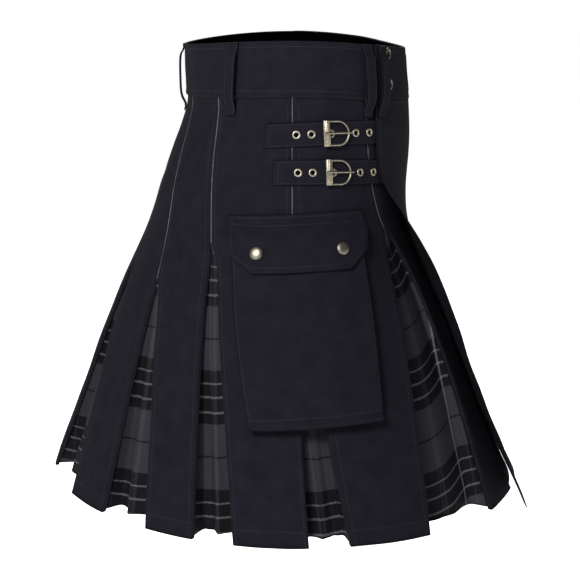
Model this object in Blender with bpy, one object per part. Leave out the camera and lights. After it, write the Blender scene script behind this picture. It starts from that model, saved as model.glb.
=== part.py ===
"""A worn utility kilt: black cotton panels with tartan inserts in the pleats, a wide waistband with belt loops,
two buckled straps at the right hip and a bellows pocket on each side.

Frame: +Z up, front faces -Y, the wearer's right is -X, and the origin is the middle of the waist, level with the
waistband's top at the hips. An angle runs round the waist: 0 at the right hip, 90 at the front, -90 at the back
and 180 at the left hip. An outset is how far a point stands out from the master surface, which is the outer face
of the dark panels. All lengths are metres."""

import math

import bmesh
import bpy
import numpy as np
from mathutils import Matrix, Vector

COTTON = 0.0015  # the dark twill and the tartan
SEAM_GAP = 0.0003
BAND_HEIGHT = 0.0635
BAND_WALL = 0.0028
HEM_HEIGHT = -0.555
INSERT_HEM_LIFT = 0.003
FRONT_DIP = 0.014  # how much lower waist and hem are at the front than at the hips
BACK_DIP = 0.009
PLEAT_DEPTH = 0.027  # of an insert behind the panels, at the hem
YOKE_DEPTH = 0.0042  # the same where the pleats are sewn shut
YOKE_OPENING = 0.0026
EDGE_FOLD = 0.0028  # how far a panel's side edge is turned in at the yoke
EDGE_FOLD_HEM = 0.005
INSERT_START = 0.0004  # of an insert's side behind a panel's turned edge
INSERT_LEAN = 0.0035  # how far it reaches behind that edge at the yoke
INSERT_RIDGE = 0.006  # how far its middle stands forward at the hem
RIDGE_SHOULDER = 0.2  # the same half way to its sides, as a share of that

# Master surface: height, half width at the hips, depth to the front, depth to the back, roundness of the back
SECTIONS = (
    (0.000, 0.1600, 0.1330, 0.1350, 2.00),
    (-0.070, 0.1640, 0.1395, 0.1345, 2.00),
    (-0.100, 0.1680, 0.1410, 0.1425, 2.00),
    (-0.130, 0.1740, 0.1400, 0.1540, 2.00),
    (-0.175, 0.1840, 0.1370, 0.1700, 1.98),
    (-0.210, 0.1940, 0.1390, 0.1810, 1.96),
    (-0.245, 0.2060, 0.1500, 0.1940, 1.94),
    (-0.300, 0.2260, 0.1750, 0.2200, 1.92),
    (-0.350, 0.2450, 0.1960, 0.2410, 1.90),
    (-0.400, 0.2630, 0.2175, 0.2600, 1.88),
    (-0.470, 0.2880, 0.2475, 0.2860, 1.86),
    (-0.560, 0.3200, 0.2905, 0.3200, 1.85),
)
CORNER_ANGLE = 41.0  # the band and yoke turn a soft corner where the front apron begins
CORNER_SPREAD = 11.0
CORNER_PUSH = 0.005
CORNER_END = -0.120

# Pleats on the right side: name, angle at the waist, how its sewn line bends, height where the pleat opens, angle
# there, angles of the opening's two sides at the hem, and how far its front side swings forward half way down
PLEATS = (
    ("1", -86.5, 1.0, -0.270, -79.0, -82.0, -62.0, 0.0),
    ("2", -69.0, 1.0, -0.285, -52.5, -47.9, -35.0, 0.0),
    ("3", -42.8, 1.0, -0.235, -32.0, -23.3, -14.3, 0.0),
    ("4", -1.2, 1.0, -0.235, -0.9, 3.2, 12.6, 0.0),
    ("5", 36.7, 2.2, -0.218, 51.0, 33.2, 57.0, 10.5),
)
OPENING_EASE = 0.6  # under 1, a pleat's front side parts quickly where it opens and then runs straight

# Heights of the rows of points down a panel
PANEL_ROWS = (-0.0640, -0.085, -0.115, -0.155, -0.195, -0.235, -0.285, -0.340, -0.400, -0.460, -0.510, -0.555)

PANEL_COLUMNS = (4, 4, 6, 9, 8, 5)  # facets across the back panel, then across panels 1 to 5

# Front apron: height, angle of its free edge, stand-off of that edge, stand-off at the middle and on the left,
# where the apron lies flat on the pleats
APRON = (
    (-0.0640, 41.2, 0.0056, 0.0052),
    (-0.1100, 41.2, 0.0056, 0.0052),
    (-0.1400, 43.5, 0.0056, 0.0052),
    (-0.1650, 46.5, 0.0120, 0.0052),
    (-0.1950, 49.5, 0.0300, 0.0052),
    (-0.2250, 53.0, 0.0405, 0.0055),
    (-0.2620, 55.0, 0.0470, 0.0060),
    (-0.3300, 57.5, 0.0440, 0.0060),
    (-0.4000, 59.5, 0.0390, 0.0055),
    (-0.4800, 61.5, 0.0378, 0.0050),
    (-0.5550, 62.5, 0.0350, 0.0045),
)
APRON_FALL = 3.0  # how its stand-off falls from the edge to the middle: 1 is straight
UNDER_APRON_GAP = 0.0012
UNDER_APRON = ((-0.0640, 52.0), (-0.240, 66.0), (-0.340, 69.0), (-0.555, 61.0))  # height, angle of its edge
# The last panel's edge, out of sight behind the apron
TUCKED_EDGE = ((-0.0640, 58.0), (-0.240, 72.0), (-0.340, 78.0), (-0.555, 74.0))

OVERLAP_END = 41.8  # angle of the waistband's outer end, at the right front
UNDERLAP_END = 80.0
LEFT_SEAM = 180.0
OVERLAP_RAISE = BAND_WALL + SEAM_GAP

LOOP_WIDTH = 0.014
LOOP_WALL = 0.0016
LOOP_FOOT = -0.0735  # below this a loop is sewn down on the cloth
LOOP_PROFILE = (  # height, stand-off from what lies behind
    (-0.001, 0.0004),
    (-0.007, 0.0006),
    (-0.014, 0.0046),
    (-0.027, 0.0062),
    (-0.045, 0.0066),
    (-0.060, 0.0060),
    (-0.070, 0.0038),
    (-0.078, 0.0012),
    (-0.085, 0.0008),
)
LOOPS = (  # name, angle at its top, angle at its foot, stands on the overlap
    ("back", -90.0, -90.0, False),
    ("right_back", -30.7, -33.0, False),
    ("right_front", 36.6, 37.0, False),
    ("overlap", 45.0, 44.2, True),
    ("left_back", -149.3, -147.0, False),
    ("left_front", 142.5, 142.0, True),
)

STRAP_WALL = 0.0024
STRAP_LIFT = 0.0008
# name, height of its middle at the square end, rise towards the front, width, angle of the square end, angle where
# it ends behind the apron, shares of its length where the eyelets are, share of the buckle's middle
STRAPS = (
    ("upper", -0.1083, 0.0070, 0.0270, -13.5, 45.0, (0.243, 0.362, 0.520, 0.737, 0.868), 0.561),
    ("lower", -0.1497, 0.0017, 0.0280, -9.0, 49.5, (0.180, 0.297, 0.465, 0.711, 0.852), 0.506),
)
EYELET_OUTER = 0.0050
EYELET_HOLE = 0.0025
EYELET_HEIGHT = 0.0012
BUCKLE_BAR = 0.0080
BUCKLE_REACH = 0.0330
BUCKLE_HEIGHT = 0.0300
BUCKLE_WIRE = 0.0024
PRONG = 0.0022

POCKET_TILT = 0.0080  # how much higher its front side is
POCKET_TOP = -0.238
POCKET_BOTTOM = -0.424
POCKET_WALL = 0.0016
POCKET_TOP_ANGLES = (-22.0, 30.8)
POCKET_BOTTOM_ANGLES = (-11.6, 24.4)
POCKET_DEPTH_TOP = 0.0110
POCKET_DEPTH_BOTTOM = 0.0190
POCKET_FULLNESS = 0.18  # how much deeper its middle is, as a share
POCKET_SEAT = 0.0010  # off the panels, so its straight facets stay clear of theirs
POCKET_WIDTH = 0.165
POCKET_HEIGHT = 0.190
POCKET_CORNER_STEP = 0.02
FLAP_TOP = -0.1955
FLAP_BOTTOM = -0.2572
FLAP_WIDTH = 0.190
FLAP_CHAMFER = 0.027
FLAP_CHAMFER_HEIGHT = 0.020
FLAP_WALL = 0.0020
FLAP_LIFT = 0.0016  # over the panels along its sewn top edge
FLAP_CLEARANCE = 0.0022  # over the pocket's mouth
FLAP_RISE_END = 0.46  # share of its height where it has risen clear of the pocket
FLAP_FLARE = 0.0050
FLAP_ANGLES_TOP = (-26.8, 35.6)
FLAP_ANGLES_BOTTOM = (-20.6, 28.8)
FLAP_CORNER = FLAP_CHAMFER / FLAP_WIDTH
FLAP_SPOTS = (0.0, FLAP_CORNER, 0.28, 0.42, 0.56, 0.70, 1 - FLAP_CORNER, 1.0)
FLAP_ROWS = (0.0, 0.12, 0.25, 0.38, 0.49, 0.80, 1.0)
FLAP_CAP_SPOTS = (0.188, 0.780)
CAP_RADIUS = 0.0075
CAP_HEIGHT = 0.0034
SNAP_LIFT = 0.0005  # off the cloth behind a snap
RING_SNAP_RADIUS = 0.0070
RING_SNAP_HEIGHTS = (-0.0090, -0.0450)
RING_SNAP_ANGLES = (50.2, 50.8)

COTTON_BLACK = (0.018, 0.018, 0.026)
TARTAN_GREY = (0.060, 0.060, 0.072)
BRASS = (0.52, 0.45, 0.33)


def clear_scene():
    for old in list(bpy.data.objects):
        bpy.data.objects.remove(old)


def material(name, colour, roughness, metallic):
    made = bpy.data.materials.new(name)
    made.use_nodes = True
    shader = made.node_tree.nodes["Principled BSDF"]
    shader.inputs["Base Color"].default_value = (*colour, 1.0)
    shader.inputs["Roughness"].default_value = roughness
    shader.inputs["Metallic"].default_value = metallic
    return made


def smooth_columns(table, height):
    """The table's other columns at this height, on a smooth curve through its rows."""
    rows = np.array(table, float)
    heights = rows[:, 0]
    last = len(rows) - 1
    after = int(np.clip(np.searchsorted(-heights, -height), 1, last))
    before = after - 1
    span = heights[after] - heights[before]
    share = float(np.clip((height - heights[before]) / span, 0.0, 1.0))
    slopes = []
    for at in (before, after):
        low, high = max(at - 1, 0), min(at + 1, last)
        slopes.append((rows[high] - rows[low]) / (heights[high] - heights[low]) * span)
    cube, square = share**3, share**2
    return (
        (2 * cube - 3 * square + 1) * rows[before]
        + (cube - 2 * square + share) * slopes[0]
        + (3 * square - 2 * cube) * rows[after]
        + (cube - square) * slopes[1]
    )[1:]


def straight_column(table, height):
    rows = sorted(table)
    return float(np.interp(height, [row[0] for row in rows], [row[1] for row in rows]))


def signed_power(value, power):
    return math.copysign(abs(value) ** power, value)


def plan_point(angle, height):
    width, front, back, roundness = smooth_columns(SECTIONS, height)
    turn = math.radians(angle)
    power = 1.0 if math.sin(turn) > 0 else 2 / roundness
    depth = front if math.sin(turn) > 0 else back
    across = -width * signed_power(math.cos(turn), power)
    along = -depth * signed_power(math.sin(turn), power)
    reach = math.hypot(across, along)
    grow = 1 + corner_push(angle, height) / reach
    return Vector((across * grow, along * grow, 0.0))


def corner_push(angle, height):
    from_side = 90 - abs(90 - angle)
    nearness = math.exp(-(((from_side - CORNER_ANGLE) / CORNER_SPREAD) ** 2))
    return CORNER_PUSH * nearness * max(0.0, 1 - height / CORNER_END)


def plan_normal(angle, height):
    step = 0.6
    along = plan_point(angle + step, height) - plan_point(angle - step, height)
    return Vector((along.y, -along.x, 0.0)).normalized()


def dip(angle, height):
    """How much lower the cloth is here than at the hips. The hem is level at the back."""
    turn = math.sin(math.radians(angle))
    if turn > 0:
        return FRONT_DIP * turn * turn
    return BACK_DIP * turn * turn * (1 - height / HEM_HEIGHT)


def body_point(angle, height, outset):
    spot = plan_point(angle, height) + plan_normal(angle, height) * outset
    spot.z = height - dip(angle, height)
    return spot


def degrees_of(length, angle, height):
    """How many degrees of angle this length spans along the surface."""
    step = 0.5
    run = (plan_point(angle + step, height) - plan_point(angle - step, height)).length
    return length * 2 * step / run


def add_object(name, mesh, finish, sharp=math.radians(38)):
    mesh.materials.append(finish)
    made = bpy.data.objects.new(name, mesh)
    bpy.context.scene.collection.objects.link(made)
    mesh.shade_smooth()
    mesh.set_sharp_from_angle(angle=sharp)
    return made


def wall(name, outer, inner, finish):
    """A closed wall between two grids of points of the same size."""
    shape = bmesh.new()
    rows, columns = len(outer), len(outer[0])
    sheets = [[[shape.verts.new(point) for point in row] for row in grid] for grid in (outer, inner)]
    for sheet in sheets:
        for i in range(rows - 1):
            for j in range(columns - 1):
                shape.faces.new((sheet[i][j], sheet[i][j + 1], sheet[i + 1][j + 1], sheet[i + 1][j]))
    rim = [(i, 0) for i in range(rows)]
    rim += [(rows - 1, j) for j in range(1, columns)]
    rim += [(i, columns - 1) for i in range(rows - 2, -1, -1)]
    rim += [(0, j) for j in range(columns - 2, 0, -1)]
    for (i, j), (k, m) in zip(rim, rim[1:] + rim[:1]):
        shape.faces.new((sheets[0][i][j], sheets[0][k][m], sheets[1][k][m], sheets[1][i][j]))
    bmesh.ops.recalc_face_normals(shape, faces=shape.faces)
    mesh = bpy.data.meshes.new(name)
    shape.to_mesh(mesh)
    shape.free()
    return add_object(name, mesh, finish)


def mirrored(grid):
    return [[Vector((-point.x, point.y, point.z)) for point in row] for row in grid]


def both_sides(name, outer, inner, finish):
    wall(name + "_right", outer, inner, finish)
    wall(name + "_left", mirrored(outer), mirrored(inner), finish)


def pleat_opening(pleat, height):
    """The angles of a pleat's two sides at this height."""
    _, waist, bend, release, release_angle, hem_back, hem_front, swing = pleat
    if height >= release:
        share = (height + BAND_HEIGHT) / (release + BAND_HEIGHT)
        middle = waist + (release_angle - waist) * share**bend
        half = degrees_of(YOKE_OPENING / 2, middle, height)
        return middle - half, middle + half
    share = open_share(pleat, height)
    half = degrees_of(YOKE_OPENING / 2, release_angle, release)
    eased = share**OPENING_EASE
    back, front = release_angle - half, release_angle + half
    sway = swing * math.sin(math.pi * eased)
    return (
        back + (hem_back - back) * (share + eased) / 2,
        front + (hem_front - front) * eased + sway,
    )


def open_share(pleat, height):
    release = pleat[3]
    return max(0.0, (height - release) / (HEM_HEIGHT - release))


def edge_fold(height):
    share = min(1.0, height / HEM_HEIGHT)
    return EDGE_FOLD + (EDGE_FOLD_HEM - EDGE_FOLD) * share


def panel_grids(edges, folds, across):
    """Outer and inner points of a dark panel. edges gives its two side angles at a height, and folds says which
    of its sides is turned in."""
    outer, inner = [], []
    for height in PANEL_ROWS:
        first, last = edges(height)
        skin = degrees_of(COTTON, (first + last) / 2, height)
        angles = np.linspace(first, last, across + 1)
        lining = angles.copy()
        if folds[0]:
            lining[0] += skin
        if folds[1]:
            lining[-1] -= skin
        out_row = [body_point(angle, height, 0.0) for angle in angles]
        in_row = [body_point(angle, height, -COTTON) for angle in lining]
        if folds[0]:
            out_row.insert(0, body_point(angles[0], height, -edge_fold(height)))
            in_row.insert(0, body_point(lining[0], height, -edge_fold(height)))
        if folds[1]:
            out_row.append(body_point(angles[-1], height, -edge_fold(height)))
            in_row.append(body_point(lining[-1], height, -edge_fold(height)))
        outer.append(out_row)
        inner.append(in_row)
    return outer, inner


def insert_grids(pleat):
    """Outer and inner points of a tartan insert: in from one panel's edge, across, and out to the next one."""
    outer, inner = [], []
    for height in PANEL_ROWS:
        share = open_share(pleat, height)
        level = height + INSERT_HEM_LIFT * (height == HEM_HEIGHT)
        first, last = pleat_opening(pleat, height)
        start = edge_fold(height) + INSERT_START
        depth = YOKE_DEPTH + COTTON / 2 + (PLEAT_DEPTH - YOKE_DEPTH) * share
        middle = (first + last) / 2
        skin = degrees_of(COTTON, middle, height)
        lean = degrees_of(INSERT_LEAN * (1 - share), middle, height)
        ridge = INSERT_RIDGE * share
        out_row, in_row = [], []
        for angle, outset, side in (
            (first - lean, -start, -1),
            (first - lean, -depth, -1),
            ((first + middle) / 2, -depth + ridge * RIDGE_SHOULDER, 0),
            (middle, -depth + ridge, 0),
            ((last + middle) / 2, -depth + ridge * RIDGE_SHOULDER, 0),
            (last + lean, -depth, 1),
            (last + lean, -start, 1),
        ):
            out_row.append(body_point(angle, level, outset))
            drop = COTTON if outset != -start else 0.0
            in_row.append(body_point(angle + side * skin, level, outset - drop))
        outer.append(out_row)
        inner.append(in_row)
    return outer, inner


def dark_panels(finish):
    for number in range(1, 5):
        before, after = PLEATS[number - 1], PLEATS[number]
        grids = panel_grids(
            lambda height: (pleat_opening(before, height)[1], pleat_opening(after, height)[0]),
            (True, True),
            PANEL_COLUMNS[number],
        )
        both_sides(f"panel_{number}", *grids, finish)
    grids = panel_grids(
        lambda height: (pleat_opening(PLEATS[4], height)[1], straight_column(TUCKED_EDGE, height)),
        (True, False),
        PANEL_COLUMNS[5],
    )
    both_sides("panel_5", *grids, finish)
    grids = panel_grids(
        lambda height: (-180 - pleat_opening(PLEATS[0], height)[0], pleat_opening(PLEATS[0], height)[0]),
        (True, True),
        PANEL_COLUMNS[0],
    )
    wall("panel_back", *grids, finish)


def tartan_inserts(finish):
    for pleat in PLEATS:
        both_sides(f"insert_{pleat[0]}", *insert_grids(pleat), finish)


def apron_grids(heights, across, wall_thickness):
    outer, inner = [], []
    for height in heights:
        edge, stand_edge, stand_middle = smooth_columns(APRON, height)
        out_row, in_row = [], []
        for j in range(across + 1):
            side = -1 + 2 * j / across
            angle = 90 + side * (90 - edge)
            outset = stand_middle + (stand_edge - stand_middle) * max(0.0, -side) ** APRON_FALL
            out_row.append(body_point(angle, height, outset))
            in_row.append(body_point(angle, height, outset - wall_thickness))
        outer.append(out_row)
        inner.append(in_row)
    return outer, inner


def front_apron(finish):
    wall("front_apron", *apron_grids([row[0] for row in APRON], 20, COTTON), finish)


def under_apron(finish):
    outer, inner = [], []
    for height in PANEL_ROWS:
        edge = straight_column(UNDER_APRON, height)
        angles = np.linspace(edge, 180 - edge, 9)
        outer.append([body_point(angle, height, -COTTON - UNDER_APRON_GAP) for angle in angles])
        inner.append([body_point(angle, height, -2 * COTTON - UNDER_APRON_GAP) for angle in angles])
    wall("under_apron", outer, inner, finish)


def band_outset(angle):
    """The band lies on the panels, and climbs over its own underlap towards its outer end."""
    start, end = LEFT_SEAM - 40, UNDERLAP_END + 8
    share = np.clip((start - angle) / (start - end), 0.0, 1.0)
    return SEAM_GAP + OVERLAP_RAISE * share * share * (3 - 2 * share)


def band_piece(name, angles, overlap, finish):
    outer, inner = [], []
    for height in (0.0, -BAND_HEIGHT):
        rises = [band_outset(angle) if overlap else SEAM_GAP for angle in angles]
        outer.append([body_point(a, height, rise + BAND_WALL) for a, rise in zip(angles, rises)])
        inner.append([body_point(a, height, rise) for a, rise in zip(angles, rises)])
    wall(name, outer, inner, finish)


def waistband(finish):
    gap = degrees_of(SEAM_GAP, LEFT_SEAM, 0.0)
    band_piece("waistband_body", np.linspace(-LEFT_SEAM + gap, UNDERLAP_END, 59), False, finish)
    band_piece("waistband_overlap", np.linspace(OVERLAP_END, LEFT_SEAM, 31), True, finish)


def belt_loops(finish):
    for name, top, foot, raised in LOOPS:
        outer, inner = [], []
        for height, stand in LOOP_PROFILE:
            middle = top + (foot - top) * height / LOOP_PROFILE[-1][0]
            half = degrees_of(LOOP_WIDTH / 2, middle, height)
            sides = (middle - half, middle, middle + half)
            base = (band_outset(middle) if raised else SEAM_GAP) + BAND_WALL
            if height < LOOP_FOOT:
                base = APRON[0][2] if name == "overlap" else 0.0
            outer.append([body_point(side, height, base + stand + LOOP_WALL) for side in sides])
            inner.append([body_point(side, height, base + stand) for side in sides])
        wall(f"belt_loop_{name}", outer, inner, finish)


def strap_point(strap, share, side, outset):
    """A point of a strap: share runs along it, and side is 0.5 on its upper edge and -0.5 on its lower one."""
    _, middle, rise, width, first, last, _, _ = strap
    angle = first + (last - first) * share
    height = middle + rise * share + side * width
    return body_point(angle, height, STRAP_LIFT + outset)


def straps(finish):
    shares = np.linspace(0, 1, 23)
    for strap in STRAPS:
        outer = [[strap_point(strap, share, side, STRAP_WALL) for share in shares] for side in (0.5, -0.5)]
        inner = [[strap_point(strap, share, side, 0.0) for share in shares] for side in (0.5, -0.5)]
        wall(f"strap_{strap[0]}", outer, inner, finish)


def frame_from(here, along, rise, lift):
    """A matrix at a point raised by lift, whose x runs along a surface, y up it, and z out of it."""
    along = along.normalized()
    out = along.cross(rise).normalized()
    rise = out.cross(along).normalized()
    frame = Matrix((along, rise, out)).transposed().to_4x4()
    frame.translation = here + out * lift
    return frame


def strap_frame(strap, share, lift):
    """Lies on the middle of a strap's outer face."""
    top = strap_point(strap, share, 0.5, STRAP_WALL)
    bottom = strap_point(strap, share, -0.5, STRAP_WALL)
    before = strap_point(strap, share - 0.02, 0.0, STRAP_WALL)
    after = strap_point(strap, share + 0.02, 0.0, STRAP_WALL)
    return frame_from((top + bottom) / 2, after - before, top - bottom, lift)


def turned(name, profile, segments, frame, finish):
    """A round piece from a profile of (radius, height) points, closed along its axis or as a ring."""
    shape = bmesh.new()
    closed_ring = profile[0][0] > 0 and profile[-1][0] > 0
    rings = []
    for radius, height in profile:
        if radius == 0:
            rings.append([shape.verts.new((0, 0, height))])
            continue
        turns = [2 * math.pi * k / segments for k in range(segments)]
        rings.append([shape.verts.new((radius * math.cos(a), radius * math.sin(a), height)) for a in turns])
    pairs = list(zip(rings, rings[1:]))
    if closed_ring:
        pairs.append((rings[-1], rings[0]))
    for low, high in pairs:
        for k in range(segments):
            m = (k + 1) % segments
            corners = [low[k % len(low)], low[m % len(low)], high[m % len(high)], high[k % len(high)]]
            unique = list(dict.fromkeys(corners))
            shape.faces.new(unique)
    shape.transform(frame)
    bmesh.ops.recalc_face_normals(shape, faces=shape.faces)
    mesh = bpy.data.meshes.new(name)
    shape.to_mesh(mesh)
    shape.free()
    return add_object(name, mesh, finish)


def eyelets(finish):
    middle = (EYELET_OUTER + EYELET_HOLE) / 2
    profile = (
        (EYELET_HOLE, 0.0),
        (EYELET_HOLE, EYELET_HEIGHT * 0.75),
        (middle, EYELET_HEIGHT),
        (EYELET_OUTER, EYELET_HEIGHT * 0.35),
        (EYELET_OUTER, 0.0),
    )
    for strap in STRAPS:
        for number, share in enumerate(strap[6], 1):
            frame = strap_frame(strap, share, SEAM_GAP)
            turned(f"eyelet_{strap[0]}_{number}", profile, 12, frame, finish)


def buckle_frame(name, frame, finish):
    """A flat D: a wide bar on the left, and a round wire from it round to the right."""
    half = BUCKLE_HEIGHT / 2
    wire = BUCKLE_WIRE / 2
    bow = BUCKLE_REACH - BUCKLE_BAR - half
    outline = [(-BUCKLE_BAR / 2, half), (BUCKLE_BAR / 2, half)]
    hole = [(BUCKLE_BAR / 2, half - BUCKLE_WIRE)]
    for k in range(11):
        turn = math.pi / 2 - math.pi * k / 10
        outline.append((BUCKLE_BAR / 2 + bow + half * math.cos(turn), half * math.sin(turn)))
        reach = half - BUCKLE_WIRE
        hole.append((BUCKLE_BAR / 2 + bow + reach * math.cos(turn), reach * math.sin(turn)))
    outline += [(BUCKLE_BAR / 2, -half), (-BUCKLE_BAR / 2, -half)]
    hole.append((BUCKLE_BAR / 2, -half + BUCKLE_WIRE))
    shape = bmesh.new()
    heights = (0.0, wire * 2)
    outer = [[shape.verts.new((x, y, h)) for x, y in outline] for h in heights]
    inner = [[shape.verts.new((x, y, h)) for x, y in hole] for h in heights]
    for ring in (outer, inner):
        for k in range(len(ring[0])):
            m = (k + 1) % len(ring[0])
            shape.faces.new((ring[0][k], ring[0][m], ring[1][m], ring[1][k]))
    for level in (0, 1):
        around, within = outer[level], inner[level]
        shape.faces.new((around[0], around[1], within[0], within[-1], around[-2], around[-1]))
        for k in range(len(hole) - 1):
            shape.faces.new((around[k + 1], around[k + 2], within[k + 1], within[k]))
    bmesh.ops.recalc_face_normals(shape, faces=shape.faces)
    shape.transform(frame)
    mesh = bpy.data.meshes.new(name)
    shape.to_mesh(mesh)
    shape.free()
    return add_object(name, mesh, finish)


def prong(name, frame, finish):
    """A tapered tongue from the bar, over the D's wire and just past it."""
    base = BUCKLE_WIRE + SEAM_GAP
    stations = (  # distance along, height over the strap, half width
        (-0.0030, base, PRONG * 0.55),
        (0.0060, base, PRONG * 0.60),
        (0.0180, base, PRONG * 0.52),
        (BUCKLE_REACH - BUCKLE_BAR / 2 + 0.0025, base, PRONG * 0.36),
    )
    outer = [[Vector((x, side * half, h + PRONG)) for side in (-1, 1)] for x, h, half in stations]
    inner = [[Vector((x, side * half, h)) for side in (-1, 1)] for x, h, half in stations]
    placed = [[[frame @ point for point in row] for row in grid] for grid in (outer, inner)]
    wall(name, *placed, finish)


def buckles(finish):
    for strap in STRAPS:
        frame = strap_frame(strap, strap[7], EYELET_HEIGHT + 2 * SEAM_GAP)
        frame = frame @ Matrix.Translation((-(BUCKLE_REACH - BUCKLE_BAR) / 2, 0, 0))
        buckle_frame(f"buckle_frame_{strap[0]}", frame, finish)
        prong(f"buckle_prong_{strap[0]}", frame, finish)


def pocket_point(across, down, outset):
    """A point of the pocket: across and down are shares of its width and height."""
    height = POCKET_TOP + (POCKET_BOTTOM - POCKET_TOP) * down + POCKET_TILT * (across - 0.5)
    first = POCKET_TOP_ANGLES[0] + (POCKET_BOTTOM_ANGLES[0] - POCKET_TOP_ANGLES[0]) * down
    last = POCKET_TOP_ANGLES[1] + (POCKET_BOTTOM_ANGLES[1] - POCKET_TOP_ANGLES[1]) * down
    return body_point(first + (last - first) * across, height, outset)


def pocket_depth(across, down):
    fullness = 1 + POCKET_FULLNESS * math.sin(math.pi * across) * math.sin(math.pi * down)
    return (POCKET_DEPTH_TOP + (POCKET_DEPTH_BOTTOM - POCKET_DEPTH_TOP) * down) * fullness


def pocket_body(finish):
    """A tray of cloth, open towards the panels behind it and at its mouth under the flap."""
    seat = POCKET_SEAT
    spots_across = (0.0, 0.10, 0.30, 0.50, 0.70, 0.90, 1.0)
    spots_down = (0.0, 0.14, 0.35, 0.60, 0.85, 1.0)
    skin_across, skin_down = POCKET_WALL / POCKET_WIDTH, POCKET_WALL / POCKET_HEIGHT
    outer, inner = [], []
    for down in spots_down:
        inside_down = min(down, 1 - skin_down)
        out_row = [pocket_point(0.0, down, seat)]
        in_row = [pocket_point(skin_across, inside_down, seat)]
        for across in spots_across:
            inside = min(max(across, skin_across), 1 - skin_across)
            depth = pocket_depth(across, down)
            out_row.append(pocket_point(across, down, depth))
            in_row.append(pocket_point(inside, inside_down, depth - POCKET_WALL))
        out_row.append(pocket_point(1.0, down, seat))
        in_row.append(pocket_point(1 - skin_across, inside_down, seat))
        outer.append(out_row)
        inner.append(in_row)
    outer.append([pocket_point(across, 1.0, seat) for across in (0.0, *spots_across, 1.0)])
    inner.append(
        [
            pocket_point(min(max(a, skin_across), 1 - skin_across), 1 - skin_down, seat)
            for a in (0.0, *spots_across, 1.0)
        ]
    )
    # the bottom row's end columns would fold onto themselves, so they step in a little
    for grid in (outer, inner):
        last = grid[-1]
        last[0] = last[1].lerp(last[2], POCKET_CORNER_STEP)
        last[-1] = last[-2].lerp(last[-3], POCKET_CORNER_STEP)
    both_sides("pocket_body", outer, inner, finish)


def flap_outset(down):
    """The flap starts flat on the panel and rises over the pocket's mouth."""
    clear = POCKET_DEPTH_TOP + FLAP_CLEARANCE
    rise = np.clip(down / FLAP_RISE_END, 0.0, 1.0)
    flare = FLAP_FLARE * max(0.0, down - FLAP_RISE_END)
    return FLAP_LIFT + (clear - FLAP_LIFT) * rise * rise * (3 - 2 * rise) + flare


def flap_point(across, down, outset):
    """A point of the flap, whose lower corners are cut off."""
    corner = min(across, 1 - across) * FLAP_WIDTH
    cut = FLAP_CHAMFER_HEIGHT * max(0.0, 1 - corner / FLAP_CHAMFER)
    share = down * (1 - cut / (FLAP_TOP - FLAP_BOTTOM))
    height = FLAP_TOP + (FLAP_BOTTOM - FLAP_TOP) * share + POCKET_TILT * (across - 0.5)
    first = FLAP_ANGLES_TOP[0] + (FLAP_ANGLES_BOTTOM[0] - FLAP_ANGLES_TOP[0]) * share
    last = FLAP_ANGLES_TOP[1] + (FLAP_ANGLES_BOTTOM[1] - FLAP_ANGLES_TOP[1]) * share
    return body_point(first + (last - first) * across, height, outset + flap_outset(share))


def pocket_flap(finish):
    outer = [[flap_point(a, down, FLAP_WALL) for a in FLAP_SPOTS] for down in FLAP_ROWS]
    inner = [[flap_point(a, down, 0.0) for a in FLAP_SPOTS] for down in FLAP_ROWS]
    both_sides("pocket_flap", outer, inner, finish)


def cap_profile():
    points = [(0.0, 0.0), (CAP_RADIUS, 0.0), (CAP_RADIUS, CAP_HEIGHT * 0.35)]
    for k in (1, 2):
        turn = math.pi / 2 * k / 3
        points.append((CAP_RADIUS * math.cos(turn), CAP_HEIGHT * (0.35 + 0.65 * math.sin(turn))))
    return points + [(0.0, CAP_HEIGHT)]


def cap_frame(share):
    """Lies on the facet of the flap that holds this share of its width."""
    left = max(spot for spot in FLAP_SPOTS if spot < share)
    right = min(spot for spot in FLAP_SPOTS if spot > share)
    top, bottom = FLAP_ROWS[4], FLAP_ROWS[5]
    corners = [flap_point(a, down, FLAP_WALL) for down in (top, bottom) for a in (left, right)]
    along = corners[1] + corners[3] - corners[0] - corners[2]
    rise = corners[0] + corners[1] - corners[2] - corners[3]
    part = (share - left) / (right - left)
    here = corners[0].lerp(corners[1], part).lerp(corners[2].lerp(corners[3], part), 0.5)
    return frame_from(here, along, rise, SNAP_LIFT)


def snap_caps(finish):
    flip = Matrix.Scale(-1, 4, Vector((1, 0, 0)))
    for number, share in enumerate(FLAP_CAP_SPOTS, 1):
        frame = cap_frame(share)
        turned(f"pocket_snap_right_{number}", cap_profile(), 14, frame, finish)
        turned(f"pocket_snap_left_{number}", cap_profile(), 14, flip @ frame, finish)


def ring_snaps(finish):
    radius = RING_SNAP_RADIUS
    profile = (
        (radius * 0.55, 0.0),
        (radius * 0.55, 0.0010),
        (radius * 0.78, 0.0018),
        (radius, 0.0008),
        (radius, 0.0),
    )
    for number, (height, angle) in enumerate(zip(RING_SNAP_HEIGHTS, RING_SNAP_ANGLES), 1):
        outset = band_outset(angle) + BAND_WALL
        along = body_point(angle + 1, height, outset) - body_point(angle - 1, height, outset)
        rise = body_point(angle, 0.0, outset) - body_point(angle, -BAND_HEIGHT, outset)
        here = body_point(angle, 0.0, outset) - rise * (-height / BAND_HEIGHT)
        frame = frame_from(here, along, rise, SNAP_LIFT)
        turned(f"waist_snap_{number}", profile, 14, frame, finish)


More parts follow.
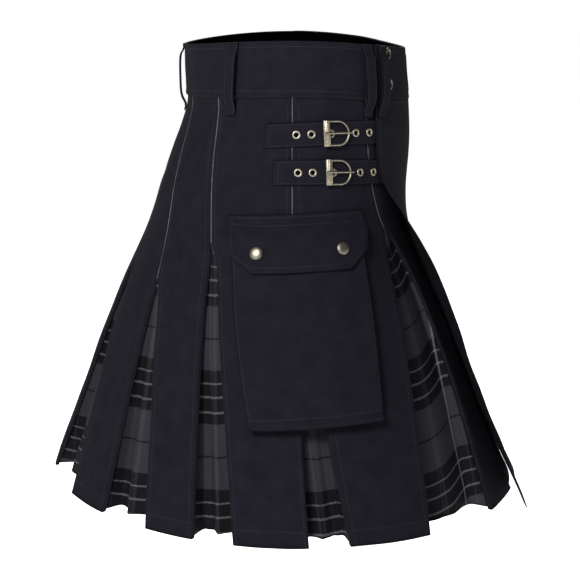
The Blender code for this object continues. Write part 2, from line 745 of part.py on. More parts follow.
def build():
    clear_scene()
    cotton = material("black_cotton_twill", COTTON_BLACK, 0.85, 0.0)
    tartan = material("grey_tartan_twill", TARTAN_GREY, 0.85, 0.0)
    brass = material("antique_brass", BRASS, 0.35, 1.0)
    dark_panels(cotton)
    tartan_inserts(tartan)
    front_apron(cotton)
    under_apron(cotton)
    waistband(cotton)
    belt_loops(cotton)
    straps(cotton)
    eyelets(brass)
    buckles(brass)
    pocket_body(cotton)
    pocket_flap(cotton)
    snap_caps(brass)
    ring_snaps(brass)


build()
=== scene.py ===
"""Looks of the worn utility kilt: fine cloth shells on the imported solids, stitching, metal, light and camera.

The row frame: +Z up, front faces -Y, the wearer's right is -X, origin in the middle of the waist. An angle
runs round the waist: 0 at the right hip, 90 at the front, -90 at the back, 180 at the left hip. An outset is
how far a point stands out from the outer face of the dark panels. Lengths are metres, and a cloth's texture
coordinates are metres on the cloth: across, then down."""

import math

import bpy
import numpy as np
from mathutils import Matrix, Vector


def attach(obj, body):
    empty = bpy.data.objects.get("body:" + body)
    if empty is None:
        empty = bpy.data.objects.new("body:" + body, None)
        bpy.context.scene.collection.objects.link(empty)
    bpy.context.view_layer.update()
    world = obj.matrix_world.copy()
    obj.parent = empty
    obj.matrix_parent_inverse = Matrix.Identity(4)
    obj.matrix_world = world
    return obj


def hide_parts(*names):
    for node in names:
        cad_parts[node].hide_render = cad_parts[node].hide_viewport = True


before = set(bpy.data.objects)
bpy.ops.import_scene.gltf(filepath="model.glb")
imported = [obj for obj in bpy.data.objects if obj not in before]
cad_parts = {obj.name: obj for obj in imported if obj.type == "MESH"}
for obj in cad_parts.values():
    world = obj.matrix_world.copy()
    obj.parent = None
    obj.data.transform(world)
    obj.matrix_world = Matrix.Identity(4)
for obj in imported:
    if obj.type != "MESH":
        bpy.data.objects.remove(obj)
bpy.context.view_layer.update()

# Sizes shared with the solids
SEAM_GAP = 0.0003
COTTON = 0.0015
BAND_HEIGHT = 0.0635
BAND_WALL = 0.0028
HEM_HEIGHT = -0.555
INSERT_HEM_LIFT = 0.003
FRONT_DIP = 0.014
BACK_DIP = 0.009
PLEAT_DEPTH = 0.027
YOKE_DEPTH = 0.0042
YOKE_OPENING = 0.0026
EDGE_FOLD = 0.0028
EDGE_FOLD_HEM = 0.005
INSERT_START = 0.0004
INSERT_LEAN = 0.0035
PANEL_TOP = -0.064

# Height, half width at the hips, depth to the front, depth to the back, roundness of the back
SECTIONS = (
    (0.000, 0.1600, 0.1330, 0.1350, 2.00),
    (-0.070, 0.1640, 0.1395, 0.1345, 2.00),
    (-0.100, 0.1680, 0.1410, 0.1425, 2.00),
    (-0.130, 0.1740, 0.1400, 0.1540, 2.00),
    (-0.175, 0.1840, 0.1370, 0.1700, 1.98),
    (-0.210, 0.1940, 0.1390, 0.1810, 1.96),
    (-0.245, 0.2060, 0.1500, 0.1940, 1.94),
    (-0.300, 0.2260, 0.1750, 0.2200, 1.92),
    (-0.350, 0.2450, 0.1960, 0.2410, 1.90),
    (-0.400, 0.2630, 0.2175, 0.2600, 1.88),
    (-0.470, 0.2880, 0.2475, 0.2860, 1.86),
    (-0.560, 0.3200, 0.2905, 0.3200, 1.85),
)
CORNER_ANGLE = 41.0
CORNER_SPREAD = 11.0
CORNER_PUSH = 0.005
CORNER_END = -0.120

# Name, angle at the waist, how its sewn line bends, height where it opens, angle there, angles of its two
# sides at the hem, and how far its front side swings forward half way down
PLEATS = (
    ("1", -86.5, 1.0, -0.270, -79.0, -82.0, -62.0, 0.0),
    ("2", -69.0, 1.0, -0.285, -52.5, -47.9, -35.0, 0.0),
    ("3", -42.8, 1.0, -0.235, -32.0, -23.3, -14.3, 0.0),
    ("4", -1.2, 1.0, -0.235, -0.9, 3.2, 12.6, 0.0),
    ("5", 36.7, 2.2, -0.218, 51.0, 33.2, 57.0, 10.5),
)
OPENING_EASE = 0.6

# Front apron: height, angle of its free edge, stand-off of that edge, stand-off at the middle
APRON = (
    (-0.0640, 41.2, 0.0056, 0.0052),
    (-0.1100, 41.2, 0.0056, 0.0052),
    (-0.1400, 43.5, 0.0056, 0.0052),
    (-0.1650, 46.5, 0.0120, 0.0052),
    (-0.1950, 49.5, 0.0300, 0.0052),
    (-0.2250, 53.0, 0.0405, 0.0055),
    (-0.2620, 55.0, 0.0470, 0.0060),
    (-0.3300, 57.5, 0.0440, 0.0060),
    (-0.4000, 59.5, 0.0390, 0.0055),
    (-0.4800, 61.5, 0.0378, 0.0050),
    (-0.5550, 62.5, 0.0350, 0.0045),
)
APRON_FALL = 3.0
UNDER_APRON_GAP = 0.0012
# Height, angle of the edge
UNDER_APRON = ((-0.0640, 52.0), (-0.240, 66.0), (-0.340, 69.0), (-0.555, 61.0))
TUCKED_EDGE = ((-0.0640, 58.0), (-0.240, 72.0), (-0.340, 78.0), (-0.555, 74.0))

OVERLAP_END = 41.8
UNDERLAP_END = 80.0
LEFT_SEAM = 180.0
OVERLAP_RAISE = BAND_WALL + SEAM_GAP

LOOP_WIDTH = 0.014
LOOP_WALL = 0.0016
LOOP_FOOT = -0.0735  # below this a loop is sewn down on the cloth
LOOP_PROFILE = (  # height, stand-off from what lies behind
    (-0.001, 0.0004),
    (-0.007, 0.0006),
    (-0.014, 0.0046),
    (-0.027, 0.0062),
    (-0.045, 0.0066),
    (-0.060, 0.0060),
    (-0.070, 0.0038),
    (-0.078, 0.0012),
    (-0.085, 0.0008),
)
LOOPS = (  # name, angle at its top, angle at its foot, stands on the overlap
    ("back", -90.0, -90.0, False),
    ("right_back", -30.7, -33.0, False),
    ("right_front", 36.6, 37.0, False),
    ("overlap", 45.0, 44.2, True),
    ("left_back", -149.3, -147.0, False),
    ("left_front", 142.5, 142.0, True),
)

STRAP_WALL = 0.0024
STRAP_LIFT = 0.0008
# Name, height of its middle at the square end, rise towards the front, width, angle of the square end, angle
# where it ends behind the apron, shares of its length where the eyelets are, share of the buckle's middle
STRAPS = (
    ("upper", -0.1083, 0.0070, 0.0270, -13.5, 45.0, (0.243, 0.362, 0.520, 0.737, 0.868), 0.561),
    ("lower", -0.1497, 0.0017, 0.0280, -9.0, 49.5, (0.180, 0.297, 0.465, 0.711, 0.852), 0.506),
)
EYELET_OUTER = 0.0050
EYELET_HOLE = 0.0025
EYELET_HEIGHT = 0.0012
BUCKLE_BAR = 0.0080
BUCKLE_REACH = 0.0330
BUCKLE_HEIGHT = 0.0300
BUCKLE_WIRE = 0.0024
BAR_GROOVES = 4
BAR_GROOVE = 0.00045  # how deep each one is
PRONG = 0.0022
PRONG_TAIL = -0.0034  # where it starts, behind the middle of the bar
PRONG_TIP = 0.0025  # how far it ends past the bow
PRONG_FLATNESS = 0.42

POCKET_TILT = 0.0080
POCKET_TOP = -0.238
POCKET_BOTTOM = -0.424
POCKET_TOP_ANGLES = (-22.0, 30.8)
POCKET_BOTTOM_ANGLES = (-11.6, 24.4)
POCKET_DEPTH_TOP = 0.0110
POCKET_DEPTH_BOTTOM = 0.0190
POCKET_FULLNESS = 0.18
POCKET_SEAT = 0.0010
POCKET_WIDTH = 0.165
POCKET_HEIGHT = 0.186
POCKET_PINCH = 0.0035  # how far its side walls draw in half way out
POCKET_FOOT_TUCK = 0.012  # the same for its foot, as a share of its height
FLAP_TOP = -0.1955
FLAP_BOTTOM = -0.2572
FLAP_WIDTH = 0.190
FLAP_CHAMFER = 0.027
FLAP_CHAMFER_HEIGHT = 0.020
FLAP_WALL = 0.0020
FLAP_LIFT = 0.0016
FLAP_CLEARANCE = 0.0022
FLAP_RISE_END = 0.46
FLAP_FLARE = 0.0050
FLAP_CAP_SPOTS = (0.188, 0.780)
FLAP_CAP_DOWN = 0.645
FLAP_HEIGHT = 0.062  # along the cloth
FLAP_ANGLES_TOP = (-26.8, 35.6)
FLAP_ANGLES_BOTTOM = (-20.6, 28.8)

# Cloth
STEP = 0.0042  # between the points of a shell
SKIN = 0.0011  # how thick a shell is; the doubled pieces have thicker ones
BAND_SKIN = BAND_WALL * 0.93
LOOP_SKIN = LOOP_WALL * 0.9
STRAP_SKIN = STRAP_WALL * 0.85
FLAP_SKIN = FLAP_WALL * 0.85
SETT = 0.1375  # one repeat of the check
COTTON_RIBS = 0.0011  # from one diagonal rib of the twill to the next
TARTAN_RIBS = 0.0032
ARC = 0.004  # metres round the body that a degree stands for in the waves
BAND_ARC = 0.0027  # the same at the waist
WAVES_START = -0.12  # from this height down the cloth hangs more freely
WAVES_GROW = 0.43  # over this length
EDGE_CORNER = 0.0011  # from a panel's side edge to where it starts to turn in
EDGE_ROLL_START = 0.00027  # how deep the turn is after its first step, then its second
EDGE_ROLL_END = 0.00117
PANEL_WIDTHS = (0.0, 0.10, 0.095, 0.17, 0.125, 0.10)  # by panel number, for the number of points across
STITCH_LENGTH = 0.0026
STITCH_PITCH = 0.0036
STITCH_WIDTH = 0.00055
# Over the cloth: a stitch's foot, the tops of its ends, and how much higher its middle is
STITCH_SEAT = 0.00004
STITCH_ENDS = 0.0001
STITCH_RISE = 0.0003

# Creases that lie on the body: middle angle, height, half length, half width, slant in degrees, depth.
# A slant of 0 runs across and 90 runs down the cloth. The hidden sides have ones of the same kind.
CREASES = (
    (24.0, -0.052, 0.022, 0.0035, 24, -0.0007),
    (20.0, -0.060, 0.016, 0.0030, -16, 0.0006),
    (-58.0, -0.030, 0.020, 0.0040, 12, -0.0006),
    (-8.0, -0.186, 0.030, 0.0060, 8, -0.0009),
    (30.0, -0.300, 0.060, 0.0080, 84, -0.0012),
    (-22.0, -0.420, 0.080, 0.0090, 86, 0.0011),
    (-6.0, -0.500, 0.055, 0.0110, 94, -0.0014),
    (22.0, -0.490, 0.060, 0.0090, 88, 0.0012),
    (-57.0, -0.400, 0.090, 0.0080, 87, -0.0012),
    (-98.0, -0.360, 0.090, 0.0100, 92, 0.0012),
    (-84.0, -0.160, 0.030, 0.0060, 20, -0.0009),
    (95.0, -0.200, 0.050, 0.0080, 30, -0.0012),
    (80.0, -0.330, 0.110, 0.0120, 88, 0.0016),
    (106.0, -0.420, 0.100, 0.0120, 93, -0.0016),
    (70.0, -0.140, 0.030, 0.0060, -28, 0.0009),
    (160.0, -0.044, 0.022, 0.0036, 18, -0.0007),
    (188.0, -0.190, 0.030, 0.0060, -8, -0.0009),
    (152.0, -0.310, 0.060, 0.0080, 84, 0.0012),
    (202.0, -0.430, 0.080, 0.0090, 92, 0.0011),
    (186.0, -0.505, 0.055, 0.0110, 86, -0.0014),
    (236.0, -0.410, 0.090, 0.0080, 87, -0.0012),
)


def smooth_columns(table, height):
    """The table's other columns at these heights, on a smooth curve through its rows."""
    rows = np.array(table, float)
    knots = -rows[:, 0]
    depth = np.clip(-np.asarray(height, float), knots[0], knots[-1])
    last = len(rows) - 1
    after = np.clip(np.searchsorted(knots, depth), 1, last)
    before = after - 1
    low, high = np.maximum(np.arange(last + 1) - 1, 0), np.minimum(np.arange(last + 1) + 1, last)
    slopes = (rows[high] - rows[low]) / (knots[high] - knots[low])[:, None]
    span = (knots[after] - knots[before])[..., None]
    share = (depth - knots[before])[..., None] / span
    cube, square = share**3, share**2
    return (
        (2 * cube - 3 * square + 1) * rows[before]
        + (cube - 2 * square + share) * slopes[before] * span
        + (3 * square - 2 * cube) * rows[after]
        + (cube - square) * slopes[after] * span
    )[..., 1:]


def straight_column(table, height):
    rows = sorted(table)
    return np.interp(height, [row[0] for row in rows], [row[1] for row in rows])


def corner_push(angle, height):
    """How far the waist stands out half way from each hip to the front."""
    from_side = 90 - abs(90 - angle)
    fade = np.maximum(0.0, 1 - height / CORNER_END)
    return CORNER_PUSH * hump(from_side - CORNER_ANGLE, CORNER_SPREAD) * fade


def plan_point(angle, height):
    width, front, back, roundness = np.moveaxis(smooth_columns(SECTIONS, height), -1, 0)
    turn = np.radians(angle)
    cos, sin = np.cos(turn), np.sin(turn)
    power = np.where(sin > 0, 1.0, 2 / roundness)
    depth = np.where(sin > 0, front, back)
    across = -width * np.sign(cos) * np.abs(cos) ** power
    along = -depth * np.sign(sin) * np.abs(sin) ** power
    grow = 1 + corner_push(angle, height) / np.hypot(across, along)
    return across * grow, along * grow


def dip(angle, height):
    """How much lower the rows hang at the front and at the back than at the hips."""
    turn = np.sin(np.radians(angle))
    back = BACK_DIP * (1 - height / HEM_HEIGHT)
    return np.where(turn > 0, FRONT_DIP, back) * turn * turn


def body_point(angle, height, outset):
    """Points on the body, as an array whose last axis is x, y, z. The three values may be arrays."""
    angle, height, outset = np.broadcast_arrays(
        np.asarray(angle, float), np.asarray(height, float), np.asarray(outset, float)
    )
    x, y = plan_point(angle, height)
    ahead, behind = plan_point(angle + 0.6, height), plan_point(angle - 0.6, height)
    along_x, along_y = ahead[0] - behind[0], ahead[1] - behind[1]
    size = np.hypot(along_x, along_y)
    x = x + along_y / size * outset
    y = y - along_x / size * outset
    return np.stack([x, y, height - dip(angle, height)], -1)


def degrees_of(length, angle, height):
    """The angle that this length takes up round the waist."""
    ahead, behind = plan_point(angle + 0.5, height), plan_point(angle - 0.5, height)
    return length / np.hypot(ahead[0] - behind[0], ahead[1] - behind[1])


def creases(angle, height):
    """How far the listed creases move the body's cloth in or out."""
    total = np.zeros(np.broadcast(angle, height).shape)
    for middle, level, length, width, slant, depth in CREASES:
        turn = (angle - middle + 180) % 360 - 180
        across = turn / degrees_of(1.0, middle, level)
        total += depth * crease(across, height - level, length, width, slant)
    return total


def hump(distance, width):
    """A soft rise of 1 at no distance."""
    return np.exp(-((distance / width) ** 2))


def crease(across, up, length, width, slant):
    """A soft rise of this half length and half width, turned by its slant."""
    turn = math.radians(slant)
    along = across * math.cos(turn) + up * math.sin(turn)
    beside = up * math.cos(turn) - across * math.sin(turn)
    return hump(along, length) * hump(beside, width)


def rumple(across, down, size, seed):
    """A soft unevenness from a few crossed waves, between about -1 and 1."""
    rng = np.random.default_rng(seed)
    total = 0.0
    for wave in range(7):
        turn = rng.uniform(0, math.pi)
        pitch = size * rng.uniform(0.6, 1.7)
        phase = rng.uniform(0, 2 * math.pi)
        along = across * math.cos(turn) + down * math.sin(turn)
        total = total + np.sin(along * 2 * math.pi / pitch + phase)
    return total / 3.2


def lowness(height):
    """0 in the yoke, and 1 near the hem, where the cloth hangs more freely."""
    return np.clip((WAVES_START - height) / WAVES_GROW, 0, 1)


def open_share(pleat, height):
    """0 where a pleat is sewn shut, and from there up to 1 at the hem."""
    return np.maximum(0.0, (height - pleat[3]) / (HEM_HEIGHT - pleat[3]))


def pleat_opening(pleat, height):
    """The angles of a pleat's two sides at these heights."""
    _, waist, bend, release, release_angle, hem_back, hem_front, swing = pleat
    height = np.asarray(height, float)
    sewn = np.clip((height + BAND_HEIGHT) / (release + BAND_HEIGHT), 0.0, 1.0)
    middle = waist + (release_angle - waist) * sewn**bend
    half = degrees_of(YOKE_OPENING / 2, middle, np.maximum(height, release))
    share = open_share(pleat, height)
    eased = share**OPENING_EASE
    sway = swing * np.sin(math.pi * eased)
    back = middle - half + (hem_back - release_angle + half) * (share + eased) / 2
    front = middle + half + (hem_front - release_angle - half) * eased + sway
    return back, front


def edge_fold(height):
    """How far a panel's side edge is turned in."""
    share = np.minimum(1.0, height / HEM_HEIGHT)
    return EDGE_FOLD + (EDGE_FOLD_HEM - EDGE_FOLD) * share


# Meshes


def mesh_object(name, points, faces, coordinates=None):
    """A smooth mesh. coordinates gives each point's place on the cloth."""
    mesh = bpy.data.meshes.new(name)
    mesh.from_pydata([tuple(p) for p in points], [], [tuple(f) for f in faces])
    if coordinates is not None:
        layer = mesh.uv_layers.new(name="cloth")
        corners = np.empty(len(mesh.loops), dtype=np.int32)
        mesh.loops.foreach_get("vertex_index", corners)
        layer.data.foreach_set("uv", np.asarray(coordinates, float)[corners].reshape(-1).astype(np.float32))
    mesh.shade_smooth()
    mesh.update()
    made = bpy.data.objects.new(name, mesh)
    bpy.context.scene.collection.objects.link(made)
    return made


def grid_normals(grid):
    down = np.gradient(grid, axis=0)
    across = np.gradient(grid, axis=1)
    normal = np.cross(down, across)
    return normal / np.maximum(np.linalg.norm(normal, axis=-1, keepdims=True), 1e-12)


def outward(grid, normal):
    """The normals turned to point away from the body's axis."""
    middle = grid[grid.shape[0] // 2, grid.shape[1] // 2]
    facing = normal[grid.shape[0] // 2, grid.shape[1] // 2]
    if facing[0] * middle[0] + facing[1] * middle[1] < 0:
        return -normal
    return normal


def shell(name, grid, skin, cloth, finish, inside=None):
    """A closed thin sheet with rounded edges: its outer face is grid, its inner one lies skin behind it."""
    rows, columns = grid.shape[:2]
    inner = grid - outward(grid, grid_normals(grid)) * skin
    count = rows * columns
    points = [grid.reshape(-1, 3), inner.reshape(-1, 3)]
    places = [cloth.reshape(-1, 2), cloth.reshape(-1, 2)]
    index = np.arange(count).reshape(rows, columns)
    quads = np.stack([index[:-1, :-1], index[1:, :-1], index[1:, 1:], index[:-1, 1:]], -1).reshape(-1, 4)
    rim = np.concatenate([index[:, 0], index[-1, 1:], index[-2::-1, -1], index[0, -2:0:-1]])
    centre = grid.mean(axis=(0, 1))
    edge_outer = grid.reshape(-1, 3)[rim]
    edge_inner = inner.reshape(-1, 3)[rim]
    ahead = np.roll(edge_outer, -1, axis=0) - np.roll(edge_outer, 1, axis=0)
    away = np.cross(ahead, edge_outer - edge_inner)
    away /= np.maximum(np.linalg.norm(away, axis=-1, keepdims=True), 1e-12)
    flip = np.sign(((edge_outer - centre) * away).sum(-1).mean())
    middle = (edge_outer + edge_inner) / 2 + away * flip * skin * 0.42
    points.append(middle)
    places.append(cloth.reshape(-1, 2)[rim])
    ring = np.arange(len(rim)) + 2 * count
    following, next_ring = np.roll(rim, -1), np.roll(ring, -1)
    faces = [
        quads,
        quads[:, ::-1] + count,
        np.stack([rim, following, next_ring, ring], -1),
        np.stack([ring, next_ring, following + count, rim + count], -1),
    ]
    made = mesh_object(name, np.concatenate(points), np.concatenate(faces), np.concatenate(places))
    turn_out(made)
    made.data.materials.append(finish)
    # The inner faces can take a second finish; the waistband gives them the near-black painted shade
    if inside:
        made.data.materials.append(inside)
        for face in list(made.data.polygons)[len(quads) : 2 * len(quads)]:
            face.material_index = 1
    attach(made, "root")
    return made


def turn_out(made):
    """Face normals all point out of the closed mesh."""
    mesh = made.data
    points = np.empty(len(mesh.vertices) * 3)
    mesh.vertices.foreach_get("co", points)
    points = points.reshape(-1, 3)
    mesh.calc_loop_triangles()
    corners = np.empty(len(mesh.loop_triangles) * 3, dtype=np.int32)
    mesh.loop_triangles.foreach_get("vertices", corners)
    a, b, c = points[corners.reshape(-1, 3)].transpose(1, 0, 2)
    if (a * np.cross(b, c)).sum() < 0:
        mesh.flip_normals()


def turned_over(grid, mirrored):
    """The grid itself, or its mirror image for the left side."""
    return grid * np.array([-1.0, 1.0, 1.0]) if mirrored else grid


def arc_lengths(grid):
    """Distances across each row, measured from its middle, and down each column."""
    across = np.linalg.norm(np.diff(grid, axis=1), axis=-1)
    across = np.concatenate([np.zeros((len(grid), 1)), np.cumsum(across, axis=1)], axis=1)
    across -= across[:, -1:] / 2
    down = np.linalg.norm(np.diff(grid, axis=0), axis=-1)
    down = np.concatenate([np.zeros((1, grid.shape[1])), np.cumsum(down, axis=0)], axis=0)
    return across, down


def cloth_places(grid):
    across, down = arc_lengths(grid)
    return np.stack([across, down[:, down.shape[1] // 2][:, None] + 0 * across], -1)


# Stitching

thread_points = []
thread_faces = []


def stitch_row(path, out):
    """Short raised stitches along a path of points, lying on the cloth whose outward direction is given."""
    steps = np.linalg.norm(np.diff(path, axis=0), axis=-1)
    reach = np.concatenate([[0.0], np.cumsum(steps)])
    starts = np.arange(STITCH_PITCH * 0.3, reach[-1] - STITCH_LENGTH, STITCH_PITCH)
    for start in starts:
        ends = []
        for distance in (start, start + STITCH_LENGTH):
            spot = np.array([np.interp(distance, reach, path[:, k]) for k in range(3)])
            lift = np.array([np.interp(distance, reach, out[:, k]) for k in range(3)])
            ends.append((spot, lift / np.linalg.norm(lift)))
        along = ends[1][0] - ends[0][0]
        along /= np.linalg.norm(along)
        first = len(thread_points)
        middle = ((ends[0][0] + ends[1][0]) / 2, ends[0][1])
        for (spot, lift), height in ((ends[0], 0.0), (middle, 1.0), (ends[1], 0.0)):
            side = np.cross(lift, along) * STITCH_WIDTH / 2
            base = spot + lift * STITCH_SEAT
            top = spot + lift * (STITCH_ENDS + STITCH_RISE * height)
            thread_points.extend([base - side, top, base + side])
        for k in (0, 3):
            a = first + k
            thread_faces.append((a, a + 1, a + 4, a + 3))
            thread_faces.append((a + 1, a + 2, a + 5, a + 4))


def stitch_grid(grid, rows, columns):
    """Stitches along a run of a grid's points: one of rows and columns is a slice and the other an index."""
    normal = outward(grid, grid_normals(grid))
    stitch_row(grid[rows, columns], normal[rows, columns])


def finish_stitching(finish):
    made = mesh_object("stitching", thread_points, thread_faces)
    made.data.materials.append(finish)
    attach(made, "root")


# Materials


class Nodes:
    """A short way to make and join shader nodes."""

    def __init__(self, name):
        self.material = bpy.data.materials.new(name)
        self.material.use_nodes = True
        self.tree = self.material.node_tree
        self.shader = self.tree.nodes["Principled BSDF"]

    def add(self, kind, inputs=None, **settings):
        node = self.tree.nodes.new(kind)
        for key, value in settings.items():
            setattr(node, key, value)
        for key, value in (inputs or {}).items():
            self.join(value, node.inputs[key])
        return node

    def join(self, value, socket):
        if isinstance(value, bpy.types.NodeSocket):
            self.tree.links.new(value, socket)
        else:
            socket.default_value = value

    def math(self, operation, first, second=0.0):
        return self.add("ShaderNodeMath", {0: first, 1: second}, operation=operation).outputs[0]

    def cloth_place(self):
        """The place on the cloth, and its two measures in metres."""
        place = self.add("ShaderNodeUVMap", uv_map="cloth").outputs[0]
        split = self.add("ShaderNodeSeparateXYZ", {0: place})
        return place, split.outputs[0], split.outputs[1]

    def noise(self, place, scale, detail, roughness):
        values = {"Vector": place, "Scale": scale, "Detail": detail, "Roughness": roughness}
        return self.add("ShaderNodeTexNoise", values).outputs[0]

    def spread(self, value, low, high, to_low=0.0, to_high=1.0):
        values = {0: value, 1: low, 2: high, 3: to_low, 4: to_high}
        return self.add("ShaderNodeMapRange", values).outputs[0]

    def cloth_finish(self, colour, relief, bump, roughness, shine):
        self.join(colour, self.shader.inputs["Base Color"])
        raised = self.add("ShaderNodeBump", {"Strength": bump, "Distance": 0.0005, "Height": relief})
        self.join(raised.outputs[0], self.shader.inputs["Normal"])
        self.shader.inputs["Roughness"].default_value = roughness
        self.shader.inputs["Specular IOR Level"].default_value = shine
        return self.material

    def mix(self, share, first, second):
        node = self.add("ShaderNodeMix", data_type="RGBA")
        self.join(share, node.inputs["Factor"])
        self.join(first, node.inputs["A"])
        self.join(second, node.inputs["B"])
        return node.outputs["Result"]

    def steps(self, value, table):
        """A ramp of sharp bands from (start, colour) rows."""
        node = self.add("ShaderNodeValToRGB", {"Fac": value})
        ramp = node.color_ramp
        ramp.interpolation = "CONSTANT"
        while len(ramp.elements) < len(table):
            ramp.elements.new(1.0)
        for element, (start, colour) in zip(ramp.elements, table):
            element.position = start
            element.color = (*colour, 1.0)
        return node.outputs["Color"]


def twill_lines(nodes, across, down, pitch):
    """Fine diagonal ribs, as a value between 0 and 1."""
    turn = nodes.math("MULTIPLY", nodes.math("ADD", across, down), 2 * math.pi / pitch)
    return nodes.math("ADD", nodes.math("MULTIPLY", nodes.math("SINE", turn), 0.5), 0.5)


def cotton_twill(name, dark, light):
    nodes = Nodes(name)
    place, across, down = nodes.cloth_place()
    cloudy = nodes.noise(place, 45.0, 6.0, 0.6)
    fine = nodes.noise(place, 480.0, 4.0, 0.8)
    ribs = twill_lines(nodes, across, down, COTTON_RIBS)
    grain = nodes.math("MULTIPLY", nodes.math("SUBTRACT", fine, 0.25), 0.85)
    worn = nodes.spread(cloudy, 0.30, 0.70, 0.08, 0.38)
    blend = nodes.math("ADD", worn, grain)
    blend = nodes.math("ADD", blend, nodes.math("MULTIPLY", ribs, 0.12))
    colour = nodes.mix(blend, (*dark, 1.0), (*light, 1.0))
    relief = nodes.math("ADD", nodes.math("MULTIPLY", ribs, 0.5), nodes.math("MULTIPLY", fine, 0.8))
    return nodes.cloth_finish(colour, relief, 0.6, 0.9, 0.06)


YARN_LIGHT = (0.095, 0.096, 0.103)
YARN_MIDDLE = (0.037, 0.038, 0.043)
YARN_DARK = (0.0040, 0.0040, 0.0055)
WARP_LIGHT = (0.018, 0.018, 0.021)
WARP_STRIPE = (0.110, 0.111, 0.118)
WARP_MIDDLE = (0.0036, 0.0036, 0.0050)
# The check's bands in metres from where its pale block starts: start, yarn
SETT_DOWN = (
    (0.0, YARN_MIDDLE),
    (0.0366, YARN_DARK),
    (0.0388, YARN_MIDDLE),
    (0.0750, YARN_DARK),
    (0.0892, YARN_LIGHT),
    (0.0918, YARN_DARK),
    (0.1050, YARN_LIGHT),
    (0.1076, YARN_DARK),
    (0.1226, YARN_LIGHT),
    (0.1252, YARN_DARK),
)
SETT_ACROSS = (
    (0.0, WARP_MIDDLE),
    (0.0335, WARP_LIGHT),
    (0.0366, YARN_DARK),
    (0.0388, WARP_LIGHT),
    (0.0440, WARP_MIDDLE),
    (0.0750, YARN_DARK),
    (0.0890, WARP_STRIPE),
    (0.0918, YARN_DARK),
    (0.1056, WARP_LIGHT),
    (0.1076, YARN_DARK),
    (0.1226, WARP_LIGHT),
    (0.1246, YARN_DARK),
)


def tartan_twill(name):
    nodes = Nodes(name)
    place, across, down = nodes.cloth_place()
    slip = nodes.math("MULTIPLY", nodes.math("SUBTRACT", nodes.noise(place, 60.0, 2.0, 0.5), 0.5), 0.0012)
    yarns = []
    for value, table in ((across, SETT_ACROSS), (down, SETT_DOWN)):
        turns = nodes.math("DIVIDE", nodes.math("ADD", value, slip), SETT)
        part = nodes.math("FRACT", turns)
        yarns.append(nodes.steps(part, [(start / SETT, yarn) for start, yarn in table]))
    ribs = twill_lines(nodes, across, down, TARTAN_RIBS)
    fine = nodes.noise(place, 700.0, 2.0, 0.5)
    rough = nodes.math("MULTIPLY", nodes.math("SUBTRACT", fine, 0.5), 1.1)
    over = nodes.spread(nodes.math("ADD", ribs, rough), 0.25, 0.75)
    return nodes.cloth_finish(nodes.mix(over, yarns[0], yarns[1]), over, 0.35, 0.84, 0.08)


def metal(name, colour, worn, roughness):
    nodes = Nodes(name)
    place = nodes.add("ShaderNodeTexCoord").outputs["Object"]
    share = nodes.spread(nodes.noise(place, 320.0, 4.0, 0.65), 0.42, 0.68)
    nodes.join(nodes.mix(share, (*colour, 1.0), (*worn, 1.0)), nodes.shader.inputs["Base Color"])
    nodes.shader.inputs["Metallic"].default_value = 1.0
    nodes.shader.inputs["Roughness"].default_value = roughness
    return nodes.material


def plain(name, colour, roughness, shine):
    made = bpy.data.materials.new(name)
    made.use_nodes = True
    shader = made.node_tree.nodes["Principled BSDF"]
    shader.inputs["Base Color"].default_value = (*colour, 1.0)
    shader.inputs["Roughness"].default_value = roughness
    shader.inputs["Specular IOR Level"].default_value = shine
    return made


SIDES = (("right", False), ("left", True))
BLACK_TWILL = cotton_twill("black_twill", (0.0020, 0.0019, 0.0034), (0.0132, 0.0128, 0.0192))
TARTAN = tartan_twill("grey_tartan")
BRASS = metal("antique_brass", (0.36, 0.335, 0.265), (0.22, 0.185, 0.13), 0.44)
CAP = metal("snap_brass", (0.235, 0.220, 0.178), (0.150, 0.130, 0.095), 0.46)
THREAD = plain("black_thread", (0.019, 0.019, 0.026), 0.7, 0.1)
# Painted shade: a near-black finish for the waistband's inner faces, darker than the black cotton, so the
# inside of the band reads as in shadow
BAND_INSIDE_SHADE = plain("band_inside_painted_shade", (0.0006, 0.0006, 0.0008), 1.0, 0.0)
# Painted shade: a near-black colour for discs in the eyelet holes, standing for the shadow down in each hole
HOLE_SHADE = plain("eyelet_hole_painted_shade", (0.001, 0.001, 0.001), 1.0, 0.0)


# Cloth pieces


def row_heights():
    """A column of heights, from under the waistband down to the hem."""
    return np.linspace(PANEL_TOP, HEM_HEIGHT, int(round((PANEL_TOP - HEM_HEIGHT) / STEP)) + 1)[:, None]


def panel_grid(edges, folds, width, seed):
    """The outer face of a dark panel, its side edges turned in round a small corner."""
    heights = row_heights()
    first, last = (np.asarray(side)[:, None] for side in edges(heights[:, 0]))
    angles = first + (last - first) * np.linspace(0.0, 1.0, int(round(width / STEP)) + 1)[None, :]
    waves = rumple(angles * ARC, heights, 0.075, seed) * (0.0002 + 0.0007 * lowness(heights))
    outsets = creases(angles, heights) + waves
    corner = degrees_of(EDGE_CORNER, (first + last) / 2, heights)
    fold = edge_fold(heights)
    if folds[0]:
        angles[:, :1] = first + corner
        start = np.broadcast_to(first, heights.shape)
        angles = np.concatenate([start, start, start + corner * 0.3, angles], axis=1)
        edge = outsets[:, :1]
        rolled = [-fold, edge - EDGE_ROLL_END, edge - EDGE_ROLL_START, edge]
        outsets = np.concatenate([*rolled, outsets[:, 1:]], axis=1)
    if folds[1]:
        angles[:, -1:] = last - corner
        end = np.broadcast_to(last, heights.shape)
        angles = np.concatenate([angles, end - corner * 0.3, end, end], axis=1)
        edge = outsets[:, -1:]
        rolled = [edge, edge - EDGE_ROLL_START, edge - EDGE_ROLL_END, -fold]
        outsets = np.concatenate([outsets[:, :-1], *rolled], axis=1)
    return body_point(angles, heights, outsets)


def panel_shell(node, grid, folds):
    cloth_piece(node, grid, SKIN)
    for folded, column in zip(folds, (5, -6)):
        if folded:
            stitch_grid(grid, slice(2, None), column)
    stitch_grid(grid, -5, slice(3, -3))


